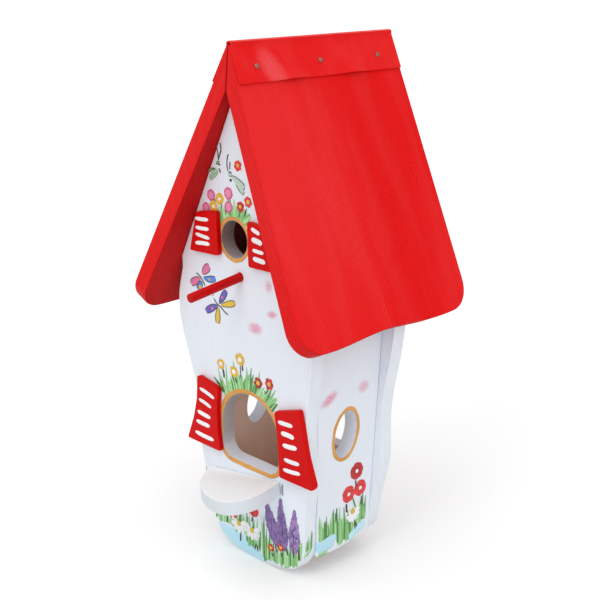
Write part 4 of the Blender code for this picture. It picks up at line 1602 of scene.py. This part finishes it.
    def leaves(self, brush: Brush, starts: Callable[[float], Point], leans: Callable[[float], float],
               count: int, reach: Point, width: Point, tones: Sequence[Tint]) -> None:
        """Adds a row of leaves that fan out from a line.

        Args:
            brush: The picture they belong to.
            starts: Foot of a leaf for a share of the row.
            leans: Direction of a leaf, in degrees, for a share of the row.
            count: How many leaves.
            reach: Shortest and longest leaf.
            width: Narrowest and widest leaf.
            tones: Their colours.
        """
        shares = [(k + brush.random.uniform(0.1, 0.9)) / count for k in range(count)]
        brush.random.shuffle(shares)
        for share in shares:
            foot = Vector(starts(share))
            angle = math.radians(leans(share) + brush.random.uniform(-11, 11))
            length = brush.random.uniform(*reach)
            bend = brush.random.uniform(-0.12, 0.12) * length
            ahead = Vector((math.cos(angle), math.sin(angle)))
            middle = foot + ahead * length * 0.5 + Vector((-ahead.y, ahead.x)) * bend
            tone = tones[brush.random.randrange(len(tones))]
            lift = brush.random.uniform(0.0, 0.12)
            brush.stroke((tuple(foot - ahead * 0.5), tuple(middle), tuple(foot + ahead * length)),
                         brush.random.uniform(*width), tone, Tip.BLADE, lift, 0.16)

    def hole_posy(self) -> None:
        """Leaves and blooms over the entry hole."""
        brush = Brush("painted_posy", LAYOUT.front(), 3)
        middle, radius = LAYOUT.hole, LAYOUT.hole_radius + 3.4

        def foot(share: float) -> Point:
            """Foot of a leaf on the gold band."""
            angle = math.radians(142 - 98 * share)
            return (middle[0] + radius * math.cos(angle), middle[1] + radius * math.sin(angle))

        def lean(share: float) -> float:
            """Direction of a leaf."""
            return 128 - 84 * share

        self.leaves(brush, foot, lean, 40, (6.0, 12.5), (2.8, 4.4), (LEAF, LEAF, LEAF_PALE, LEAF_PALE, LEAF))
        brush.stroke(((-10.6, 250.6), (-6.6, 252.8), (-1.6, 256.6)), 3.6, LEAF_PALE, Tip.DAB, 0.14, rings=8)
        brush.stroke(((-14.6, 252.8), (-11.2, 256.8), (-9.0, 261.6)), 4.4, LEAF, Tip.DAB, 0.14, rings=8)
        brush.stroke(((-21.0, 254.8), (-20.4, 260.6), (-21.0, 267.6)), 2.6, LEAF_PALE, Tip.DAB, 0.14, rings=8)
        brush.stroke(((-27.2, 265.2), (-25.2, 267.0)), 4.6, LEAF, Tip.DAB, 0.06, rings=8)
        for points in (((-44.3, 264.6), (-43.5, 262.4)), ((-35.6, 262.6), (-35.3, 258.0)),
                       ((-42.2, 256.0), (-39.0, 253.2)), ((-40.6, 247.6), (-37.2, 247.0)),
                       ((-14.0, 258.2), (-15.4, 253.6)), ((-6.4, 262.6), (-8.6, 255.2)),
                       ((-26.6, 256.0), (-24.4, 254.2)), ((-31.4, 258.0), (-30.2, 254.0))):
            brush.stroke(points, 1.2, INK, Tip.LINE, 0.18, 0.12, around=6)
        brush.dot((-41.2, 250.4), 1.4, PINK, 0.1)
        for at, size in (((-47.8, 266.8), 4.9), ((-27.3, 271.0), 5.1), ((-27.2, 260.6), 5.0),
                         ((-54.4, 255.6), 4.6)):
            brush.rose(at, size)
        brush.flower((-37.9, 265.2), 5.2, 6, SUN, SNOW, 0.30, SUN_DEEP, turn=15)
        brush.flower((-45.2, 258.0), 4.9, 6, SUN, SNOW, 0.32, SUN_DEEP, turn=40)
        brush.flower((-13.5, 262.8), 4.5, 6, CRIMSON, SUN, 0.32, tint(206, 26, 28), turn=20)
        brush.flower((-4.5, 267.8), 4.4, 6, SCARLET, SUN, 0.42, tint(226, 60, 70), turn=50)
        brush.finish(self.paint)

    def arch_meadow(self) -> None:
        """Grass and flowers that stand on the arch."""
        brush = Brush("painted_arch_meadow", LAYOUT.front(), 4)
        half = LAYOUT.arch_width / 2 + 2.6
        spring = LAYOUT.arch_sill + LAYOUT.arch_spring
        rise = LAYOUT.arch_height - LAYOUT.arch_spring + 2.6

        def foot(share: float) -> Point:
            """Foot of a blade on the gold band."""
            angle = math.radians(141 - 97 * share)
            return (LAYOUT.arch_middle + half * math.cos(angle), spring + rise * math.sin(angle))

        def lean(share: float) -> float:
            """Direction of a blade."""
            return 122 - 74 * share

        self.leaves(brush, foot, lean, 52, (9.0, 18.0), (2.9, 4.6),
                    (LEAF, LEAF, LEAF_PALE, LEAF_PALE, LEAF_DARK))
        self.leaves(brush, foot, lean, 34, (6.0, 12.0), (2.4, 4.0), (LEAF, LEAF_PALE, LEAF_PALE, LEAF_DARK))
        for points, width, tone in (
                (((-37.6, 102.6), (-43.0, 109.0), (-50.2, 113.4)), 3.4, MOSS),
                (((-36.6, 103.0), (-41.0, 107.2), (-46.8, 109.6)), 3.0, LEAF_DARK),
                (((-36.0, 103.6), (-39.2, 108.6), (-41.6, 115.0)), 3.0, MOSS),
                (((-23.2, 121.0), (-24.2, 127.0), (-25.2, 133.8)), 3.0, LEAF),
                (((-9.0, 113.4), (-8.4, 123.0), (-9.2, 132.6)), 3.2, LEAF),
                (((-4.6, 113.0), (-4.4, 124.0), (-3.2, 134.0)), 2.4, LEAF_DARK),
                (((2.6, 112.0), (5.0, 124.0), (6.6, 133.0)), 2.8, LEAF),
                (((-40.0, 106.0), (-41.6, 114.0), (-44.0, 123.0)), 2.8, LEAF),
                (((-33.4, 107.0), (-33.6, 117.0), (-34.2, 128.6)), 2.4, LEAF),
                (((13.0, 107.0), (19.2, 113.6), (24.6, 122.0)), 3.2, LEAF),
                (((15.8, 105.8), (20.6, 111.2), (26.2, 115.8)), 3.4, LEAF),
                (((17.6, 104.4), (20.4, 107.4), (23.6, 110.8)), 3.0, LEAF_DARK)):
            brush.stroke(points, width, tone, Tip.BLADE, 0.14, 0.18, rings=8)
        for points, width in ((((-38.0, 123.4), (-37.0, 119.6), (-36.6, 115.8)), 2.2),
                              (((-23.2, 120.6), (-21.2, 115.2)), 1.5),
                              (((-14.0, 132.8), (-13.8, 127.6)), 2.0),
                              (((-16.6, 131.4), (-15.8, 120.6)), 1.0), (((3.4, 119.0), (1.8, 114.6)), 1.3),
                              (((16.4, 119.4), (12.8, 115.2)), 1.2)):
            brush.stroke(points, width, INK, Tip.LINE, 0.22, 0.12, around=6)
        for at, radius, turn in (((-40.4, 127.0), 4.7, 30), ((-24.4, 124.4), 4.9, 70),
                                 ((-16.8, 136.6), 5.4, 10)):
            brush.flower(at, radius, 5, SUN_DEEP, SNOW, 0.42, SUN, turn)
        brush.flower((4.6, 122.4), 4.8, 6, CRIMSON, SUN, 0.42, tint(150, 18, 18), 10)
        brush.flower((17.4, 124.8), 4.9, 6, SCARLET, SUN, 0.38, tint(158, 20, 20), 60)
        brush.finish(self.paint)

    def tufts(self, brush: Brush, spans: Sequence[tuple[float, float, float, float, int]],
              narrow: float = 1.3, broad: float = 3.0) -> None:
        """Adds upright grass along the foot of a board.

        Args:
            brush: The picture it belongs to.
            spans: Start, end, foot, top and number of blades of each tuft.
            narrow: Narrowest blade.
            broad: Widest blade.
        """
        for start, end, low, high, count in spans:
            for k in range(count):
                a = start + (end - start) * (k + brush.random.uniform(0.1, 0.9)) / count
                foot = low + brush.random.uniform(0.0, 4.0)
                top = high - brush.random.uniform(0.0, 0.45) * (high - low)
                sway = brush.random.uniform(-1.6, 1.6)
                tone = (LEAF, LEAF, LEAF_PALE, LEAF_PALE, LEAF_DARK)[brush.random.randrange(5)]
                brush.stroke(((a, foot), (a + sway * 0.3, (foot + top) / 2), (a + sway, top)),
                             brush.random.uniform(narrow, broad), tone, Tip.BLADE,
                             brush.random.uniform(0.0, 0.1), 0.15)

    def lavender(self, brush: Brush, line: Sequence[Point], spread: float, tones: Sequence[Tint]) -> None:
        """Adds one spike of lavender, dabbed from its pointed top to its foot.

        Args:
            brush: The picture it belongs to.
            line: Points from its top to its foot.
            spread: Its widest half width.
            tones: Colours of the dabs.
        """
        path = Line(line)
        rows = 15
        for row in range(rows):
            t = row / (rows - 1)
            centre = path.at(t)
            half = spread * math.sin(math.pi * (0.06 + 0.86 * t) ** 1.25) ** 0.9
            across = max(1, round(half / 1.9))
            for k in range(across + 1):
                aside = (k / across * 2 - 1) * max(half - 1.2, 0.2) + brush.random.uniform(-0.6, 0.6)
                foot = (centre.x + aside * 0.85, centre.y - 2.2 + brush.random.uniform(-0.7, 0.7))
                end = (centre.x + aside, centre.y + 2.6)
                brush.stroke((foot, end), brush.random.uniform(2.9, 4.0),
                             tones[brush.random.randrange(len(tones))], Tip.DAB, 0.12 + 0.02 * t, 0.2)

    def petals(self, brush: Brush, at: Point, count: int, angles: Point, reach: Point, width: float,
               tones: Sequence[Tint] = (SNOW,), inner: float = 0.0, lift: float = 0.18,
               rings: int = 8) -> None:
        """Adds long petals that spread from one place.

        Args:
            brush: The picture they belong to.
            at: Where they meet.
            count: How many petals.
            angles: Direction of the first one and the step to the next, in degrees.
            reach: How far they reach sideways and up.
            width: Their width.
            tones: Their colours, in turn.
            inner: How far from the middle they start.
            lift: Height above the board.
            rings: Steps along a petal.
        """
        for k in range(count):
            angle = math.radians(angles[0] + angles[1] * k)
            across, up = math.cos(angle), math.sin(angle)
            brush.stroke(((at[0] + inner * across, at[1] + inner * up),
                          (at[0] + reach[0] * across, at[1] + reach[1] * up)),
                         width, tones[k % len(tones)], Tip.PETAL, lift, 0.2, rings=rings)

    def front_border(self) -> None:
        """Grass, daisies, lavender and small flowers along the front board's foot."""
        brush = Brush("painted_front_border", LAYOUT.front(), 5, "front_board")
        self.tufts(brush, ((-52, -28, -19, -4, 12), (-30, -8, -21, 4, 13), (-12, 8, -29, 8, 11),
                           (8, 14, -35, 6, 5), (14, 24, -34, -4, 7), (24, 40, -33, -8, 9),
                           (40, 50, -28, -6, 6), (50, 54, -19, 2, 4)),
                   2.2, 4.2)
        brush.stroke(((10.6, -34.5), (9.6, -15.0), (9.8, 7.0)), 3.6, LEAF_DARK, Tip.BLADE, 0.1, 0.18,
                     rings=10)
        purple = (LAVENDER, LAVENDER_DEEP, LAVENDER_DEEP, LAVENDER)
        mauve = (LAVENDER, LAVENDER_PALE, LAVENDER_PALE, LAVENDER_DEEP)
        self.lavender(brush, ((13.6, 19.0), (17.2, 8.0), (21.6, -3.0), (24.4, -13.0)), 7.4, purple)
        self.lavender(brush, ((29.6, 27.5), (30.2, 14.0), (32.6, 0.0), (34.4, -13.0)), 5.6, purple)
        self.lavender(brush, ((45.8, 23.0), (45.4, 10.0), (45.0, -2.0), (44.4, -13.0)), 6.5, mauve)
        for middle in ((-21.2, -11.2), (-4.8, -11.4)):
            self.petals(brush, middle, 7, (158, 224 / 6), (9.8, 9.2), 4.6, inner=1.2)
            brush.dot(middle, 2.5, SUN, 0.34)
        for middle in ((-29.6, -4.4), (-3.0, 7.2)):
            self.petals(brush, middle, 7, (0, 360 / 7), (6.4, 5.4), 5.0, (SCARLET, CRIMSON), lift=0.16,
                        rings=7)
        for at, size in (((18.0, -18.8), 3.9), ((29.6, -14.0), 3.7)):
            brush.flower(at, size, 6, SCARLET, SUN, 0.42, tint(170, 30, 24), 15)
        for points, width in ((((-19.2, -20.0), (-19.6, -27.2)), 1.7), (((-35.6, -9.8), (-36.0, -16.0)), 1.7),
                              (((-4.0, 1.2), (-5.2, -3.6)), 1.3), (((0.4, -22.0), (-1.8, -28.0)), 1.5),
                              (((1.8, -23.0), (1.8, -28.6)), 1.3), (((19.4, -22.8), (20.4, -26.0)), 1.9),
                              (((23.4, -13.4), (24.0, -17.6)), 1.5), (((24.6, -17.0), (25.4, -21.0)), 1.3),
                              (((30.4, -18.6), (31.0, -22.0)), 1.5), (((36.6, -12.0), (38.0, -18.4)), 1.6),
                              (((44.4, -8.6), (45.0, -17.8)), 1.4), (((44.2, 8.0), (45.0, -6.0)), 0.9),
                              (((50.2, -8.6), (51.8, -17.4)), 1.5), (((31.6, 8.0), (32.4, -6.0)), 0.9)):
            brush.stroke(points, width, INK, Tip.LINE, 0.30, 0.12, around=6)
        brush.finish(self.paint)

    def edge_grass(self) -> None:
        """Blades of grass on the front board's own right edge."""
        outline = Outline("front_board", LAYOUT.front(), 1.0)
        brush = Brush("painted_edge_grass", EndFace(outline), 7)
        for points, width, tone in (
                (((-41.8, -15.5), (-41.6, -8.0), (-41.9, 0.5)), 2.6, LEAF_PALE),
                (((-39.4, -14.5), (-39.3, -6.0), (-38.8, 4.5)), 2.8, LEAF),
                (((-40.6, -10.0), (-40.2, -4.0), (-40.6, 1.0)), 1.6, LEAF_DARK),
                (((-36.6, -11.5), (-36.4, -2.0), (-35.9, 9.0)), 2.4, LEAF),
                (((-35.4, -9.0), (-35.2, 0.0), (-35.0, 7.5)), 1.8, LEAF_DARK),
                (((-37.8, -13.0), (-37.6, -6.0), (-37.9, 0.0)), 2.0, LEAF_PALE)):
            brush.stroke(points, width, tone, Tip.BLADE, 0.02, 0.16)
        brush.finish(self.paint)

    def slot_shadows(self) -> None:
        """Painted shadow: grey strokes for the open ends of the slot that the tray is glued into."""
        brush = Brush("painted_slot_shadows", LAYOUT.front(), 8, "front_board", 0.7)
        brush.stroke(((31.9, 43.8), (31.7, 38.0), (32.3, 33.0)), 2.0, SLOT_SHADOW_GREY, Tip.BLUNT, 0.0, 0.06)
        brush.stroke(((-62.9, 28.0), (-62.9, 21.4)), 1.7, SLOT_SHADOW_GREY, Tip.BLUNT, 0.0, 0.06)
        brush.finish(self.paint)

    def side_border(self, right: bool) -> None:
        """Poppies, a daisy and grass along a side board's foot.

        Args:
            right: True for the right side board.
        """
        hand = "right" if right else "left"
        brush = Brush(f"painted_side_border_{hand}", LAYOUT.side(right), 6 if right else 16,
                      f"side_board_{hand}")
        self.tufts(brush, ((-30.5, -19, -6, 19, 9), (-31, -20, -19, -12, 7), (-19, -8, -8, 20, 8),
                           (-8, 4, -17, 20, 9), (4, 11, -16, 16, 5), (10, 20, -8, 16, 7),
                           (19, 26, -4, 25, 6)), 2.2, 4.0)
        for line, width in ((((-33.0, -10.6), (-24.0, -8.2), (-8.6, -6.0)), 8.4),
                            (((-34.0, -12.0), (-24.0, -11.4), (-12.0, -11.6)), 7.0),
                            (((6.4, -14.6), (13.0, -10.2), (25.6, -5.2)), 7.4)):
            brush.stroke(line, width, WATER, Tip.BLUNT, 0.12, 0.16, rings=14, around=10)
        for at, size, tone in (((14.6, 44.4), 7.6, CRIMSON), ((5.2, 26.6), 7.4, SCARLET),
                               ((19.0, 27.8), 7.2, SCARLET)):
            brush.dot(at, size * 0.72, tone, 0.06)
            for k in range(7):
                angle = 2 * math.pi * k / 7 + brush.random.uniform(-0.15, 0.15)
                end = (at[0] + size * math.cos(angle), at[1] + size * math.sin(angle))
                shade = blended(tone, CRIMSON, 0.2 + 0.4 * brush.random.random())
                brush.stroke((at, end), size * 0.86, shade if k % 2 else tone, Tip.PETAL, 0.16, 0.2, rings=7)
            for k in range(5):
                angle = 1.26 * k + 0.3
                near = [(at[0] + size * 0.45 * math.cos(angle + d), at[1] + size * 0.45 * math.sin(angle + d))
                        for d in (-0.4, 0.4)]
                brush.stroke(near, 0.9, blended(tone, tint(120, 8, 10), 0.5), Tip.DAB, 0.30, 0.12, around=6)
            brush.dot(at, 1.7, SNOW, 0.38)
        self.petals(brush, (10.6, 8.0), 7, (165, 35), (8.4, 8.4), 4.4)
        brush.dot((10.2, 9.4), 2.5, SUN, 0.34)
        for points, width, tone in ((((13.2, 36.4), (14.4, 30.4)), 1.8, INK),
                                    (((2.6, 18.8), (3.0, 11.0)), 2.2, INK),
                                    (((10.2, 21.4), (13.4, 12.4)), 1.6, LEAF_DARK),
                                    (((20.6, 20.0), (20.2, 12.0)), 1.4, INK),
                                    (((4.0, 12.0), (4.8, 7.0)), 1.4, INK),
                                    (((13.0, 0.6), (13.4, -8.2)), 1.5, INK),
                                    (((14.0, -2.0), (15.8, -6.4)), 1.4, INK),
                                    (((-8.6, 19.0), (-9.4, 8.0)), 1.6, MOSS)):
            brush.stroke(points, width, tone, Tip.LINE, 0.28, 0.12, around=6)
        brush.finish(self.paint)

    def build(self) -> None:
        """Paints every picture."""
        self.birds()
        self.butterflies()
        self.hole_posy()
        self.arch_meadow()
        self.front_border()
        self.edge_grass()
        self.slot_shadows()
        self.side_border(True)
        self.side_border(False)


# ------------------------------------------------------------------ studio
@dataclass
class Studio:
    """Pale floor, soft lights and the camera."""

    floor_span: float = 60.0               # metres
    floor_gap: float = 0.0004              # metres below the lowest point
    camera_at: Triple = (0.64482, -0.63045, 0.45621)
    camera_turn: Triple = (73.03, 0.0, 45.33)   # degrees
    camera_lens: float = 69.88
    world_light: float = 0.5
    key: float = 0.56
    fill: float = 0.6
    top: float = 1.12

    def floor(self) -> None:
        """Lays the floor."""
        work = bmesh.new()
        bmesh.ops.create_grid(work, x_segments=4, y_segments=4, size=self.floor_span / 2)
        low = CAD_BOX[0].z - self.floor_gap
        bmesh.ops.translate(work, verts=work.verts, vec=(0.0, 0.0, low))
        made = shown("studio_floor", meshed(work, "studio_floor"))
        made.data.materials.append(StudioFloor().build())

    def light(self, name: str, toward: Triple, strength: float, spread: float) -> None:
        """Adds one broad far light.

        Args:
            name: The light's name.
            toward: Direction from the house to the light.
            strength: Its strength.
            spread: Its apparent width in degrees.
        """
        lamp = bpy.data.lights.new(name, "SUN")
        lamp.energy = strength
        lamp.angle = math.radians(spread)
        made = shown(name, lamp)
        turn = (-Vector(toward)).to_track_quat("-Z", "Y").to_matrix().to_4x4()
        made.matrix_world = Matrix.Translation(Vector(toward)) @ turn

    def world(self) -> None:
        """Sets an even pale surround, pure white where it is seen."""
        world = bpy.data.worlds.new("studio")
        bpy.context.scene.world = world
        world.use_nodes = True
        graph = Graph(world.node_tree)
        level = graph.seen_by_eye() * (1 - self.world_light) + self.world_light
        sky = graph.out("ShaderNodeBackground", {}, {"Color": PURE_WHITE, "Strength": level})
        graph.node("ShaderNodeOutputWorld", {}, {"Surface": sky})

    def camera(self) -> None:
        """Sets the camera."""
        lens = bpy.data.cameras.new("camera")
        lens.lens = self.camera_lens
        lens.sensor_width = 36.0
        lens.clip_start = 0.01
        lens.clip_end = 200.0
        made = shown("camera", lens)
        made.location = self.camera_at
        made.rotation_euler = tuple(math.radians(angle) for angle in self.camera_turn)
        bpy.context.scene.camera = made

    def build(self) -> None:
        """Sets up the whole studio."""
        self.floor()
        self.world()
        self.light("key", (0.13, -1.0, 0.75), self.key, 30.0)
        self.light("fill", (1.0, -0.25, 0.75), self.fill, 60.0)
        self.light("top", (-0.1, -0.1, 1.0), self.top, 70.0)
        self.camera()
        bpy.context.scene.view_settings.view_transform = "Standard"


def main() -> None:
    """Builds the house piece by piece."""
    logging.basicConfig(level=logging.INFO, format="%(name)s: %(message)s")
    for stage in (Walls(), Floors(), Roof(), FrontFittings(), CleanOut()):
        log.info("building %s", type(stage).__name__)
        stage.build()
    paint = BrushPaint("brush_paint").build()
    Rims().build(BrushPaint("rim_paint", rough=0.42).build())
    ShutterSlats().build(paint)
    GardenPictures(paint).build()
    Studio().build()
    bpy.context.view_layer.update()


if __name__ == "__main__":
    main()
